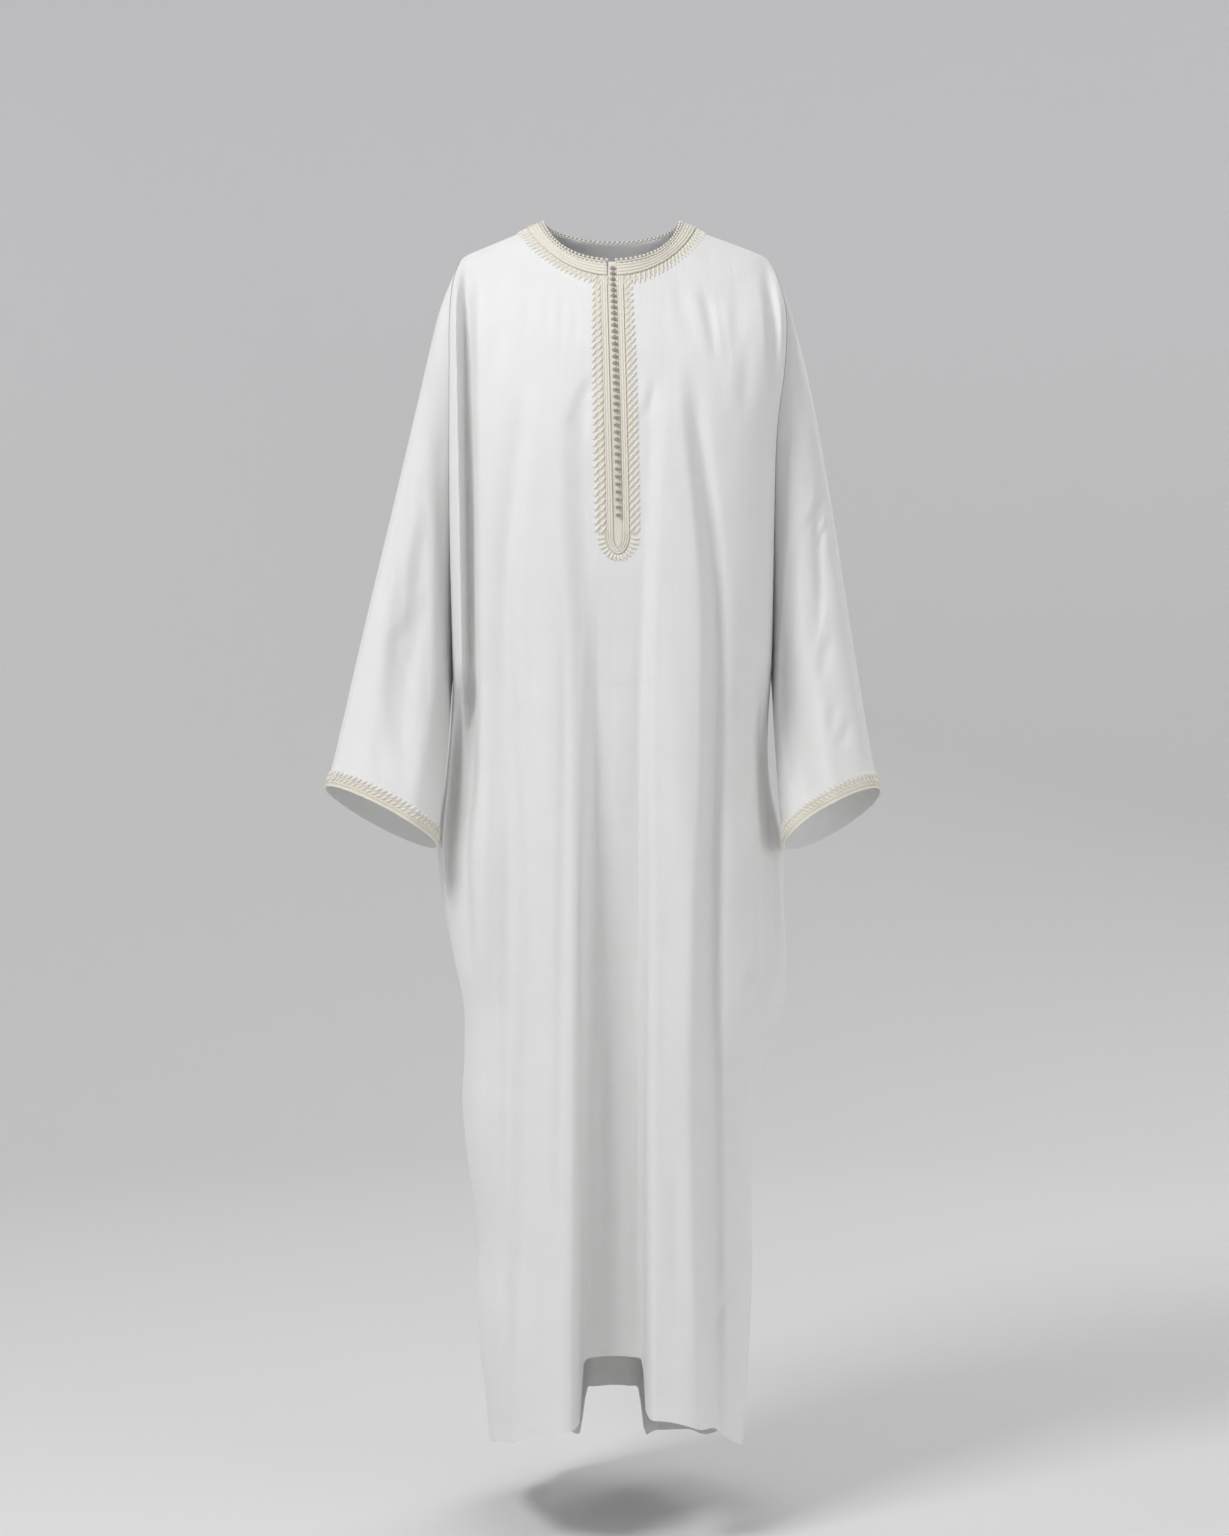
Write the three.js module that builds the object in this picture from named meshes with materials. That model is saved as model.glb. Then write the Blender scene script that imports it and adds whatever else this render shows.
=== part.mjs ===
// A long white abaya, hanging open and hollow as it does on its wearer.
// Millimetres. X runs to the right as the garment is faced, Y from its front to its back, and Z up.
// The origin lies between the shoulders, at the height where they carry the cloth.
//
// Front and back are each cut in one from neckline to hem. They meet at the shoulder seams and the side
// seams. A sleeve is a tube that is set into each armhole. Braid and embroidery are laid on the panels.
// Each of these long pieces stands here as two nodes, so that what collides follows its hollow closely:
// a panel above the underarm and the skirt below it, and a sleeve above the elbow and the forearm below.
import * as THREE from "three";

const CLOTH = 1.6; // wall of the panels and sleeves
const SEAM_GAP = 0.3; // between pieces that are sewn together
const LAID_GAP = 0.4; // under what lies on a panel
const BRAID = 1.5; // thickness of the woven braid
const EMBROIDERY = 0.8; // thickness of the embroidered ground
const STITCH_RISE = 1; // how far an embroidered bar stands out of its ground

const NECK_SIDE_Z = 3; // the neckline on the shoulder
const SHOULDER_Z = -42; // the outer end of the shoulder seam
const UNDERARM_Z = -530; // the bottom of the deep armhole
const ARMHOLE_FRONT = 58; // how far the armhole opens to the front of the arm
const ARMHOLE_BACK = 54;
const ARMHOLE_TAPER = 0.45; // share of that lost towards the underarm

// Height of the hem round the body, and in the recessed folds in the middle of the front and the back.
const HEM = { left: -1368, right: -1355, side: -1422, back: -1452, frontRecess: -1305, backRecess: -1388 };
const MID_SPREAD = 95; // mm of width for each unit of sine near the middle, the same at every height
const DROOP = 1.5; // over 1, so that each ring leaves the shoulder seam level

const rad = THREE.MathUtils.degToRad;
const { lerp, clamp, smoothstep } = THREE.MathUtils;

// The yoke, from the neckline out to the end of the shoulder. Each row is one ring round the neck:
// its half width to the left and right, and its height at the shoulder, centre front and centre back.
const YOKE = [
  { at: 0.0, left: 85, right: 78, side: NECK_SIDE_Z, front: -56, back: -10 },
  { at: 0.18, left: 101, right: 94, side: -3, front: -74, back: -26 },
  { at: 0.3, left: 113, right: 106, side: -9, front: -87, back: -38 },
  { at: 0.55, left: 144, right: 141, side: -22, front: -118, back: -64 },
  { at: 0.8, left: 170, right: 169, side: -33, front: -150, back: -92 },
  { at: 0.92, left: 178, right: 178, side: -38, front: -167, back: -107 },
  { at: 1.0, left: 181, right: 181, side: SHOULDER_Z, front: -178, back: -116 },
];
const FRONT_LAG = 12; // how much lower a ring is at the front than at the side, at the underarm
const BACK_LAG = 8;

// Half widths of the body at each height, which set the outline seen from the front.
const OUTLINE = [
  { z: SHOULDER_Z, left: 181, right: 181 },
  { z: -72, left: 188, right: 192 },
  { z: -110, left: 191, right: 199 },
  { z: -170, left: 191, right: 197 },
  { z: -243, left: 191, right: 188 },
  { z: -347, left: 191, right: 185 },
  { z: UNDERARM_Z, left: 189, right: 183 },
  { z: -580, left: 185, right: 180 },
  { z: -650, left: 189, right: 183 },
  { z: -724, left: 208, right: 198 },
  { z: -790, left: 202, right: 199 },
  { z: -860, left: 188, right: 201 },
  { z: -912, left: 177, right: 198 },
  { z: -972, left: 176, right: 176 },
  { z: -1024, left: 178, right: 162 },
  { z: -1082, left: 173, right: 160 },
  { z: -1190, left: 158, right: 161 },
  { z: -1264, left: 162, right: 160 },
  { z: -1373, left: 151, right: 154 },
  { z: -1460, left: 141, right: 146 },
];

// Depth in front of and behind the arm plane, which set the outline seen from the side.
const DEPTH_FRONT = [
  { z: 4, out: 66 },
  { z: -30, out: 73 },
  { z: -56, out: 80 },
  { z: -87, out: 95 },
  { z: -125, out: 113 },
  { z: -178, out: 130 },
  { z: -235, out: 140 },
  { z: -330, out: 144 },
  { z: -520, out: 142 },
  { z: -800, out: 150 },
  { z: -1100, out: 164 },
  { z: -1460, out: 182 },
];
const DEPTH_BACK = [
  { z: -10, out: 64 },
  { z: -60, out: 86 },
  { z: -150, out: 106 },
  { z: -300, out: 103 },
  { z: -520, out: 108 },
  { z: -800, out: 126 },
  { z: -1100, out: 144 },
  { z: -1460, out: 162 },
];
// Where the side seam lies, from front to back.
const SIDE_SEAM = [
  { z: UNDERARM_Z, y: 0 },
  { z: -600, y: 16 },
  { z: -725, y: 28 },
  { z: -900, y: 12 },
  { z: -1100, y: 2 },
  { z: -1460, y: 4 },
];

// Folds of the cloth. Each row gives, at one height, the left and right edge of a fold and how far it
// stands out there, less than 0 for a hollow. `softLeft` and `softRight` are the widths of its two walls.
const FRONT_FOLDS = [
  {
    name: "middle recess", softLeft: 18, softRight: 13,
    rows: [
      { z: -412, left: -24, right: 38, out: 0 },
      { z: -560, left: -28, right: 34, out: -13 },
      { z: -775, left: -31, right: 33, out: -33 },
      { z: -983, left: -34, right: 32, out: -46 },
      { z: -1225, left: -38, right: 34, out: -57 },
      { z: -1460, left: -40, right: 36, out: -64 },
    ],
  },
  {
    name: "left fold", softLeft: 20, softRight: 30,
    rows: [
      { z: -190, left: -92, right: -52, out: 0 },
      { z: -260, left: -99, right: -50, out: 6 },
      { z: -408, left: -113, right: -44, out: 11 },
      { z: -560, left: -114, right: -40, out: 13 },
      { z: -775, left: -102, right: -40, out: 15 },
      { z: -983, left: -106, right: -42, out: 17 },
      { z: -1225, left: -113, right: -44, out: 18 },
      { z: -1460, left: -127, right: -45, out: 18 },
    ],
  },
  {
    name: "left trough", softLeft: 34, softRight: 18,
    rows: [
      { z: -190, left: -108, right: -94, out: 0 },
      { z: -300, left: -124, right: -104, out: -6 },
      { z: -455, left: -136, right: -116, out: -12 },
      { z: -775, left: -140, right: -104, out: -16 },
      { z: -1225, left: -152, right: -115, out: -20 },
      { z: -1460, left: -156, right: -129, out: -18 },
    ],
  },
  {
    name: "left inner dent", softLeft: 14, softRight: 14,
    rows: [
      { z: -380, left: -62, right: -54, out: 0 },
      { z: -600, left: -60, right: -50, out: -4 },
      { z: -1000, left: -66, right: -54, out: -4 },
      { z: -1300, left: -68, right: -58, out: 0 },
    ],
  },
  {
    name: "right fold", softLeft: 20, softRight: 24,
    rows: [
      { z: -190, left: 52, right: 82, out: 0 },
      { z: -260, left: 48, right: 88, out: 6 },
      { z: -408, left: 40, right: 102, out: 11 },
      { z: -560, left: 37, right: 106, out: 13 },
      { z: -775, left: 37, right: 97, out: 16 },
      { z: -983, left: 36, right: 93, out: 18 },
      { z: -1225, left: 36, right: 99, out: 20 },
      { z: -1460, left: 38, right: 105, out: 20 },
    ],
  },
  {
    name: "right trough", softLeft: 18, softRight: 22,
    rows: [
      { z: -180, left: 80, right: 92, out: 0 },
      { z: -260, left: 86, right: 102, out: -9 },
      { z: -455, left: 106, right: 120, out: -14 },
      { z: -775, left: 100, right: 116, out: -17 },
      { z: -1225, left: 100, right: 118, out: -20 },
      { z: -1460, left: 106, right: 122, out: -20 },
    ],
  },
  {
    name: "left gap", softLeft: 10, softRight: 12,
    rows: [
      { z: -44, left: -181, right: -170, out: 0 },
      { z: -100, left: -179, right: -163, out: -30 },
      { z: -247, left: -175, right: -159, out: -38 },
      { z: -447, left: -172, right: -157, out: -38 },
      { z: -545, left: -172, right: -156, out: -34 },
      { z: -640, left: -174, right: -160, out: -8 },
      { z: -740, left: -178, right: -168, out: 0 },
    ],
  },
  {
    name: "left under sleeve", softLeft: 12, softRight: 14,
    rows: [
      { z: -531, left: -182, right: -166, out: 0 },
      { z: -560, left: -180, right: -158, out: -34 },
      { z: -640, left: -182, right: -157, out: -40 },
      { z: -740, left: -196, right: -166, out: -34 },
      { z: -880, left: -186, right: -160, out: 0 },
    ],
  },
  {
    name: "right gap", softLeft: 11, softRight: 10,
    rows: [
      { z: -44, left: 176, right: 183, out: 0 },
      { z: -80, left: 175, right: 185, out: -13 },
      { z: -130, left: 176, right: 188, out: -13 },
      { z: -215, left: 178, right: 186, out: 0 },
    ],
  },
  {
    name: "right under sleeve", softLeft: 12, softRight: 16,
    rows: [
      { z: -510, left: 168, right: 174, out: 0 },
      { z: -600, left: 163, right: 174, out: -26 },
      { z: -740, left: 166, right: 190, out: -32 },
      { z: -900, left: 168, right: 190, out: 0 },
    ],
  },
];
const BACK_FOLDS = [
  {
    name: "middle recess", softLeft: 44, softRight: 38,
    rows: [
      { z: -420, left: -24, right: 18, out: 0 },
      { z: -700, left: -30, right: 24, out: -14 },
      { z: -1100, left: -36, right: 30, out: -32 },
      { z: -1460, left: -42, right: 36, out: -46 },
    ],
  },
  {
    name: "left fold", softLeft: 30, softRight: 30,
    rows: [
      { z: -240, left: -86, right: -44, out: 0 },
      { z: -600, left: -96, right: -40, out: 12 },
      { z: -1460, left: -102, right: -44, out: 18 },
    ],
  },
  {
    name: "right fold", softLeft: 28, softRight: 30,
    rows: [
      { z: -280, left: 38, right: 80, out: 0 },
      { z: -650, left: 34, right: 90, out: 12 },
      { z: -1460, left: 40, right: 100, out: 18 },
    ],
  },
  {
    name: "left trough", softLeft: 26, softRight: 20,
    rows: [
      { z: -300, left: -116, right: -100, out: 0 },
      { z: -700, left: -122, right: -100, out: -12 },
      { z: -1460, left: -126, right: -106, out: -20 },
    ],
  },
  {
    name: "right trough", softLeft: 20, softRight: 26,
    rows: [
      { z: -260, left: 92, right: 108, out: 0 },
      { z: -700, left: 94, right: 112, out: -12 },
      { z: -1460, left: 102, right: 120, out: -20 },
    ],
  },
  {
    name: "left gap", softLeft: 14, softRight: 14,
    rows: [
      { z: -60, left: -176, right: -166, out: 0 },
      { z: -140, left: -174, right: -158, out: -24 },
      { z: -440, left: -170, right: -154, out: -24 },
      { z: -600, left: -168, right: -154, out: 0 },
    ],
  },
  {
    name: "right gap", softLeft: 14, softRight: 14,
    rows: [
      { z: -60, left: 166, right: 176, out: 0 },
      { z: -140, left: 158, right: 174, out: -24 },
      { z: -440, left: 154, right: 170, out: -24 },
      { z: -600, left: 154, right: 168, out: 0 },
    ],
  },
];

// Sleeve sections from the armhole to the cuff: the top seam, the underarm seam, and how far the tube
// stands out to the front and back between them. `tilt` raises the front lip over the back one.
const LEFT_SLEEVE = [
  {
    at: 0.0, topX: -181, topY: 0, topZ: SHOULDER_Z, lowX: -189, lowY: 0, lowZ: UNDERARM_Z,
    front: ARMHOLE_FRONT, back: ARMHOLE_BACK, tilt: 0,
  },
  {
    at: 0.12, topX: -204, topY: 0, topZ: -100, lowX: -190.5, lowY: -8, lowZ: -553,
    front: 62, back: 58, tilt: 0,
  },
  {
    at: 0.3, topX: -228, topY: -2, topZ: -200, lowX: -192, lowY: -18, lowZ: -586,
    front: 66, back: 58, tilt: 0,
  },
  {
    at: 0.5, topX: -257, topY: -8, topZ: -325, lowX: -195, lowY: -28, lowZ: -624,
    front: 62, back: 54, tilt: 0,
  },
  {
    at: 0.75, topX: -293, topY: -22, topZ: -482, lowX: -199, lowY: -40, lowZ: -674,
    front: 56, back: 50, tilt: 6,
  },
  {
    at: 0.95, topX: -325, topY: -38, topZ: -628, lowX: -203, lowY: -48, lowZ: -714,
    front: 50, back: 50, tilt: 14,
  },
  {
    at: 1.0, topX: -334, topY: -40, topZ: -659, lowX: -204, lowY: -50, lowZ: -724,
    front: 50, back: 50, tilt: 16,
  },
];
const RIGHT_SLEEVE = [
  {
    at: 0.0, topX: 181, topY: 0, topZ: SHOULDER_Z, lowX: 183, lowY: 0, lowZ: UNDERARM_Z,
    front: ARMHOLE_FRONT, back: ARMHOLE_BACK, tilt: 0,
  },
  {
    at: 0.12, topX: 203, topY: 0, topZ: -95, lowX: 184, lowY: -8, lowZ: -553,
    front: 62, back: 58, tilt: 0,
  },
  {
    at: 0.3, topX: 227, topY: -2, topZ: -184, lowX: 185, lowY: -18, lowZ: -586,
    front: 66, back: 58, tilt: 0,
  },
  {
    at: 0.5, topX: 251, topY: -8, topZ: -316, lowX: 187, lowY: -28, lowZ: -624,
    front: 62, back: 54, tilt: 0,
  },
  {
    at: 0.75, topX: 274, topY: -22, topZ: -472, lowX: 190, lowY: -40, lowZ: -674,
    front: 58, back: 50, tilt: 8,
  },
  {
    at: 0.95, topX: 298, topY: -40, topZ: -628, lowX: 194, lowY: -50, lowZ: -714,
    front: 54, back: 52, tilt: 18,
  },
  {
    at: 1.0, topX: 307, topY: -44, topZ: -664, lowX: 195, lowY: -52, lowZ: -723,
    front: 54, back: 52, tilt: 21,
  },
];
const SLEEVE_TAPER = 0.45; // how much the tube thins towards the underarm seam near the armhole

// Folds of the sleeves: `across` runs from 0 at the top seam to 1 at the underarm seam, on the front half.
const LEFT_SLEEVE_FOLDS = [
  { name: "elbow hollow", from: 0.38, to: 0.86, across: [0.45, 0.5], width: 0.16, out: -13 },
  { name: "inner crest", from: 0.2, to: 1.3, across: [0.82, 0.78], width: 0.1, out: 7 },
  { name: "elbow dent", from: 0.5, to: 0.8, across: [0.25, 0.4], width: 0.09, out: -5 },
];
const RIGHT_SLEEVE_FOLDS = [
  { name: "inner hollow", from: 0.3, to: 1.1, across: [0.72, 0.74], width: 0.11, out: -14 },
  { name: "inner crest", from: 0.3, to: 1.3, across: [0.5, 0.52], width: 0.12, out: 6 },
  { name: "elbow dent", from: 0.4, to: 0.62, across: [0.2, 0.32], width: 0.08, out: -6 },
];

// The placket down the middle of the front. Widths are measured from its row of buttons.
const PLACKET = {
  slit: [5, 6.8],
  braidLeft: 14,
  edgeLeft: 27,
  inRight: 4.5,
  braidRight: 11.5,
  edgeRight: 24,
};
const PLACKET_END_Z = -372; // where its straight sides end and its rounded end begins
const PLACKET_TURN = { braid: [16, 22.8], embroidery: [23.2, 32.4] }; // reach of the rounded end below that
const TAB_TOP_Z = -355.5; // the plain tab below the last button
const BARS = 35; // embroidered bars down each side, and their slope in mm of height for each mm of width
const BAR_SLOPE = 0.9;
const BUTTONS = 38;
const BUTTON_RADIUS = 2.6;
const BUTTON_ROW = { top: -65, firstStep: 6.7, lastStep: 8.8 };
const CUFF_BAND = 20; // height of the embroidery round each cuff
const CUFF_SCALLOP = 3.5;

// Where the placket leans to, from the middle of the body.
const LEAN = [
  { z: -50, x: -2.4 },
  { z: -352, x: 5 },
  { z: -430, x: 5 },
  { z: -800, x: 1 },
  { z: -1460, x: 0 },
];

// Columns of the panels, as angles from the middle: closer together where the folds are tight.
const angleOf = (x) => {
  let s = x / MID_SPREAD;
  for (let k = 0; k < 8; k += 1) s = x / (MID_SPREAD + 96 * s * s);
  return THREE.MathUtils.radToDeg(Math.asin(s));
};
const LEFT_COLUMNS = [...PLACKET.slit, PLACKET.braidLeft, PLACKET.edgeLeft].map(angleOf).concat([
  18, 20.5, 23, 26, 29.5, 33.5, 37.5, 41, 44, 47, 50, 53, 56.5, 60, 63, 66, 68, 70, 72, 74.5, 78, 83, 90,
]);
const RIGHT_COLUMNS = [PLACKET.inRight, PLACKET.braidRight, PLACKET.edgeRight].map(angleOf).concat([
  16.5, 19, 21.5, 24.5, 28, 32, 36, 40, 43, 46, 49, 52, 56, 60, 64, 68, 72, 76, 80, 85, 90,
]);
const BACK_COLUMNS = [6, 12, 18, 24, 30, 36, 42, 48, 54, 60, 65, 70, 75, 82, 90];
const BRAID_EDGE = 0.18;
const STITCH_EDGE = 0.3;
const YOKE_STOPS = [0, BRAID_EDGE, STITCH_EDGE, 0.55, 0.8];
const ARMHOLE_ROWS = 11;
const SKIRT_ROWS = 14;
const SKIRT_CROWDING = 1.35; // over 1, so that the rows are closest just below the underarm
const ELBOW = 0.48;
const SLEEVE_STOPS = [0, 0.06, 0.14, 0.24, 0.36, ELBOW, 0.6, 0.72, 0.84, 0.93, 1];

// Value of `key` in a table at position `p` of column `by`: a smooth curve through its rows.
function along(table, by, key, p) {
  const rising = table[table.length - 1][by] > table[0][by];
  const ordered = rising ? table : [...table].reverse();
  const last = ordered.length - 1;
  const q = clamp(p, ordered[0][by], ordered[last][by]);
  let i = 0;
  while (i < last - 1 && q > ordered[i + 1][by]) i += 1;
  const slope = (k) => {
    const a = ordered[Math.max(k - 1, 0)];
    const b = ordered[Math.min(k + 1, last)];
    return (b[key] - a[key]) / (b[by] - a[by]);
  };
  const width = ordered[i + 1][by] - ordered[i][by];
  const t = (q - ordered[i][by]) / width;
  const t2 = t * t;
  const t3 = t2 * t;
  return (
    (2 * t3 - 3 * t2 + 1) * ordered[i][key] +
    (t3 - 2 * t2 + t) * width * slope(i) +
    (3 * t2 - 2 * t3) * ordered[i + 1][key] +
    (t3 - t2) * width * slope(i + 1)
  );
}

// How far the armhole opens at share `r` of its height, as a share of its greatest opening.
function armholeOpening(r) {
  return Math.sqrt(Math.max(4 * r * (1 - r), 0)) * (1 - ARMHOLE_TAPER * r);
}

// The ring at station `t`: 0 to 1 down the yoke, 1 to 2 down the armhole, 2 to 3 down the skirt.
function ringAt(t, isFront) {
  if (t <= 1) {
    const ring = { side: along(YOKE, "at", "side", t), seamY: 0 };
    ring.middle = along(YOKE, "at", isFront ? "front" : "back", t);
    ring.left = along(YOKE, "at", "left", t);
    ring.right = along(YOKE, "at", "right", t);
    return ring;
  }
  const r = (1 - Math.cos(Math.PI * Math.min(t - 1, 1))) / 2;
  const side = lerp(SHOULDER_Z, UNDERARM_Z, r);
  const end = YOKE[YOKE.length - 1];
  const lag = isFront ? lerp(end.side - end.front, FRONT_LAG, r) : lerp(end.side - end.back, BACK_LAG, r);
  const opening = armholeOpening(r);
  return {
    side,
    middle: side - lag,
    seamY: isFront ? -ARMHOLE_FRONT * opening : ARMHOLE_BACK * opening,
    left: along(OUTLINE, "z", "left", side),
    right: along(OUTLINE, "z", "right", side),
  };
}

// Height of the hem at angle `a` from the middle, for a point that lies at `x`.
function hemAt(a, x, isFront) {
  const middle = isFront ? lerp(HEM.left, HEM.right, smoothstep(x, -50, 50)) : HEM.back;
  const recess = foldShape((isFront ? FRONT_FOLDS : BACK_FOLDS)[0], x, middle);
  const fallen = lerp(middle, HEM.side, Math.abs(Math.sin(a)) ** 5);
  return lerp(fallen, isFront ? HEM.frontRecess : HEM.backRecess, smoothstep(recess, 0.3, 0.8));
}

// Share of a fold's height at `x`: 0 outside its edges, 1 between them, and a slope at each wall.
function foldShape(fold, x, z) {
  const left = along(fold.rows, "z", "left", z);
  const right = along(fold.rows, "z", "right", z);
  const { softLeft, softRight } = fold;
  const rise = smoothstep(x, left - softLeft / 2, left + softLeft / 2);
  return rise * (1 - smoothstep(x, right - softRight / 2, right + softRight / 2));
}

// How far the folds in `table` lift the cloth out at (x, z).
function foldsAt(table, x, z) {
  let out = 0;
  for (const fold of table) {
    const { rows } = fold;
    if (z < rows[0].z) out += along(rows, "z", "out", z) * foldShape(fold, x, z);
  }
  return out;
}

// A point of the front or back at angle `a` from the middle (less than 0 at X less than 0) and station `t`.
function panelPoint(a, t, isFront) {
  const s = Math.sin(a);
  const facing = isFront ? -1 : 1;
  const depths = isFront ? DEPTH_FRONT : DEPTH_BACK;
  const ring = ringAt(Math.min(t, 2), isFront);
  const rise = Math.cos(a);
  let z = lerp(ring.side, ring.middle, rise ** DROOP);
  let { seamY } = ring;
  let half = s < 0 ? ring.left : ring.right;
  if (t > 2) {
    const down = t - 2;
    z = lerp(z, hemAt(a, s * (MID_SPREAD + (ring.left - MID_SPREAD) * s * s), isFront), down);
    seamY = along(SIDE_SEAM, "z", "y", z);
    half = along(OUTLINE, "z", s < 0 ? "left" : "right", z);
  }
  const own = s * (MID_SPREAD + (half - MID_SPREAD) * s * s);
  const square = t < 1 ? lerp(2, 2.6, t) : 2.6;
  const bulge = Math.sqrt(Math.max(1 - Math.abs(own / half) ** square, 0));
  const x = own + (isFront ? along(LEAN, "z", "x", z) * Math.cos(a) ** 4 : 0);
  const depth = along(depths, "z", "out", z) - facing * seamY;
  const folds = isFront ? FRONT_FOLDS : BACK_FOLDS;
  const settle = smoothstep(Math.abs(90 - Math.abs(THREE.MathUtils.radToDeg(a))), 0, 9);
  const y = seamY + facing * (depth * bulge + foldsAt(folds, x, z) * settle + SEAM_GAP / 2);
  return new THREE.Vector3(x, y, z);
}

// A point of a sleeve at share `w` from armhole to cuff and turn `phi` from its top seam: 0 to pi down the
// front half, pi to 2 pi up the back half.
function sleevePoint(table, folds, w, phi) {
  const get = (key) => along(table, "at", key, w);
  const r = (1 - Math.cos(phi)) / 2;
  const swing = Math.sin(phi);
  const isFront = swing > 0;
  const taper = 1 - SLEEVE_TAPER * (1 - smoothstep(w, 0.5, 1)) * r;
  let out = (isFront ? get("front") : get("back")) * taper;
  if (isFront) {
    for (const fold of folds) {
      const share = clamp((w - fold.from) / (fold.to - fold.from), 0, 1);
      const centre = lerp(fold.across[0], fold.across[1], share);
      const away = (r - centre) / fold.width;
      out += fold.out * Math.sin(Math.PI * share) * Math.exp(-away * away);
    }
  }
  const straight = lerp(get("topX"), get("lowX"), r);
  const half = along(OUTLINE, "z", straight < 0 ? "left" : "right", lerp(SHOULDER_Z, UNDERARM_Z, r));
  const bow = Math.sign(straight) * half - lerp(table[0].topX, table[0].lowX, r);
  const point = new THREE.Vector3(
    straight + bow * (1 - smoothstep(w, 0, 0.3)),
    lerp(get("topY"), get("lowY"), r) - out * swing,
    lerp(get("topZ"), get("lowZ"), r) + get("tilt") * swing,
  );
  point.x += Math.sign(point.x) * SEAM_GAP * 1.4;
  return point;
}

// Mean normal of the faces round each point of an open surface.
function normalsOf(points, faces) {
  const normals = points.map(() => new THREE.Vector3());
  for (const [a, b, c] of faces) {
    const ab = points[b].clone().sub(points[a]);
    const ac = points[c].clone().sub(points[a]);
    const n = ab.cross(ac);
    for (const i of [a, b, c]) normals[i].add(n);
  }
  return normals.map((n) => n.normalize());
}

// A closed wall: outer points, the inner point behind each one, and strips along every open edge.
function addWall(name, outer, inner, faces, material) {
  const count = outer.length;
  const triangles = [];
  const edges = new Map();
  for (const face of faces) {
    triangles.push(face, [face[0] + count, face[2] + count, face[1] + count]);
    face.forEach((from, k) => edges.set(`${from},${face[(k + 1) % 3]}`, [from, face[(k + 1) % 3]]));
  }
  for (const [a, b] of edges.values()) {
    if (edges.has(`${b},${a}`)) continue;
    // Both walls at a seam cut each cell of their edge along the same diagonal.
    if (a < b) triangles.push([b, a, a + count], [b, a + count, b + count]);
    else triangles.push([b, a, b + count], [a, a + count, b + count]);
  }
  const used = [...new Set(triangles.flat())];
  const order = new Map(used.map((old, k) => [old, k]));
  const all = [...outer, ...inner];
  const geometry = new THREE.BufferGeometry();
  const positions = used.flatMap((k) => all[k].toArray());
  geometry.setAttribute("position", new THREE.Float32BufferAttribute(positions, 3));
  geometry.setIndex(triangles.flat().map((k) => order.get(k)));
  const mesh = new THREE.Mesh(geometry, material);
  mesh.name = name;
  abaya.add(mesh);
}

// Two triangles for each cell of a grid whose vertex numbers come from `at(row, column)`. `flip` turns them
// over, for a grid whose columns run from right to left.
function gridFaces(rows, columns, at, flip = false, isOpen = () => false) {
  const faces = [];
  for (let i = 0; i < rows; i += 1) {
    for (let j = 0; j < columns; j += 1) {
      const [a, b, c, d] = [at(i, j), at(i + 1, j), at(i + 1, j + 1), at(i, j + 1)];
      if (!isOpen(i, j)) faces.push([a, b, c], [a, c, d]);
    }
  }
  return flip ? faces.map(([a, b, c]) => [a, c, b]) : faces;
}

// The upper and lower part of a wall as two nodes, which meet at row `level` of its grid.
function addParts([upper, lower], grid, inner, columns, level, at, flip, isOpen) {
  const count = grid.turns.length;
  const lowered = (points) => points.map((p, k) => {
    const next = points[k + count];
    return Math.floor(k / count) === level ? p.clone().lerp(next, SEAM_GAP / p.distanceTo(next)) : p;
  });
  const faces = gridFaces(level, columns, at, flip, isOpen);
  const rest = gridFaces(grid.stops.length - 1 - level, columns, (i, j) => at(i + level, j), flip);
  addWall(upper, grid.points, inner, faces, cotton);
  addWall(lower, lowered(grid.points), lowered(inner), rest, cotton);
}

// A grid of points: a row for each station, and a column for each turn, left to right as it is faced.
function makeGrid(stops, turns, pointAt) {
  const points = stops.flatMap((t) => turns.map((a) => pointAt(a, t)));
  return { stops, turns, points, at: (i, j) => i * turns.length + j };
}

// The point of a grid's facets at turn `a` and station `t`, and the normal there.
function onFacets(grid, a, t) {
  const cellOf = (list, value) => {
    let k = 0;
    while (k < list.length - 2 && value >= list[k + 1]) k += 1;
    return [k, clamp((value - list[k]) / (list[k + 1] - list[k]), 0, 1)];
  };
  const [j, u] = cellOf(grid.turns, a);
  const [i, v] = cellOf(grid.stops, t);
  const corners = [grid.at(i, j), v >= u ? grid.at(i + 1, j) : grid.at(i, j + 1), grid.at(i + 1, j + 1)];
  const shares = v >= u ? [1 - v, v - u, u] : [1 - u, u - v, v];
  const mix = (list) => {
    const sum = new THREE.Vector3();
    corners.forEach((k, n) => sum.addScaledVector(list[k], shares[n]));
    return sum;
  };
  return { point: mix(grid.points), normal: mix(grid.normals).normalize() };
}

// The station at which a grid's column at turn `a` passes height `z`.
function stationOf(grid, a, z) {
  let [low, high] = [grid.stops[0], grid.stops[grid.stops.length - 1]];
  for (let k = 0; k < 40; k += 1) {
    const middle = (low + high) / 2;
    if (onFacets(grid, a, middle).point.z > z) low = middle;
    else high = middle;
  }
  return low;
}

// Something laid on the cloth: rows of { point, normal, rise } down it, left to right as it is faced.
function addLaid(name, rows, thickness, material, { isClosed = false, flip = false } = {}) {
  const columns = rows[0].length;
  const at = (i, j) => i * columns + (j % columns);
  const faces = gridFaces(rows.length - 1, isClosed ? columns : columns - 1, at, flip);
  const spots = rows.flat();
  const lift = ({ point, normal }, by) => point.clone().addScaledVector(normal, by);
  const outer = spots.map((spot) => lift(spot, LAID_GAP + thickness + (spot.rise || 0)));
  const inner = spots.map((spot) => lift(spot, LAID_GAP));
  addWall(name, outer, inner, faces, material);
}

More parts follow.
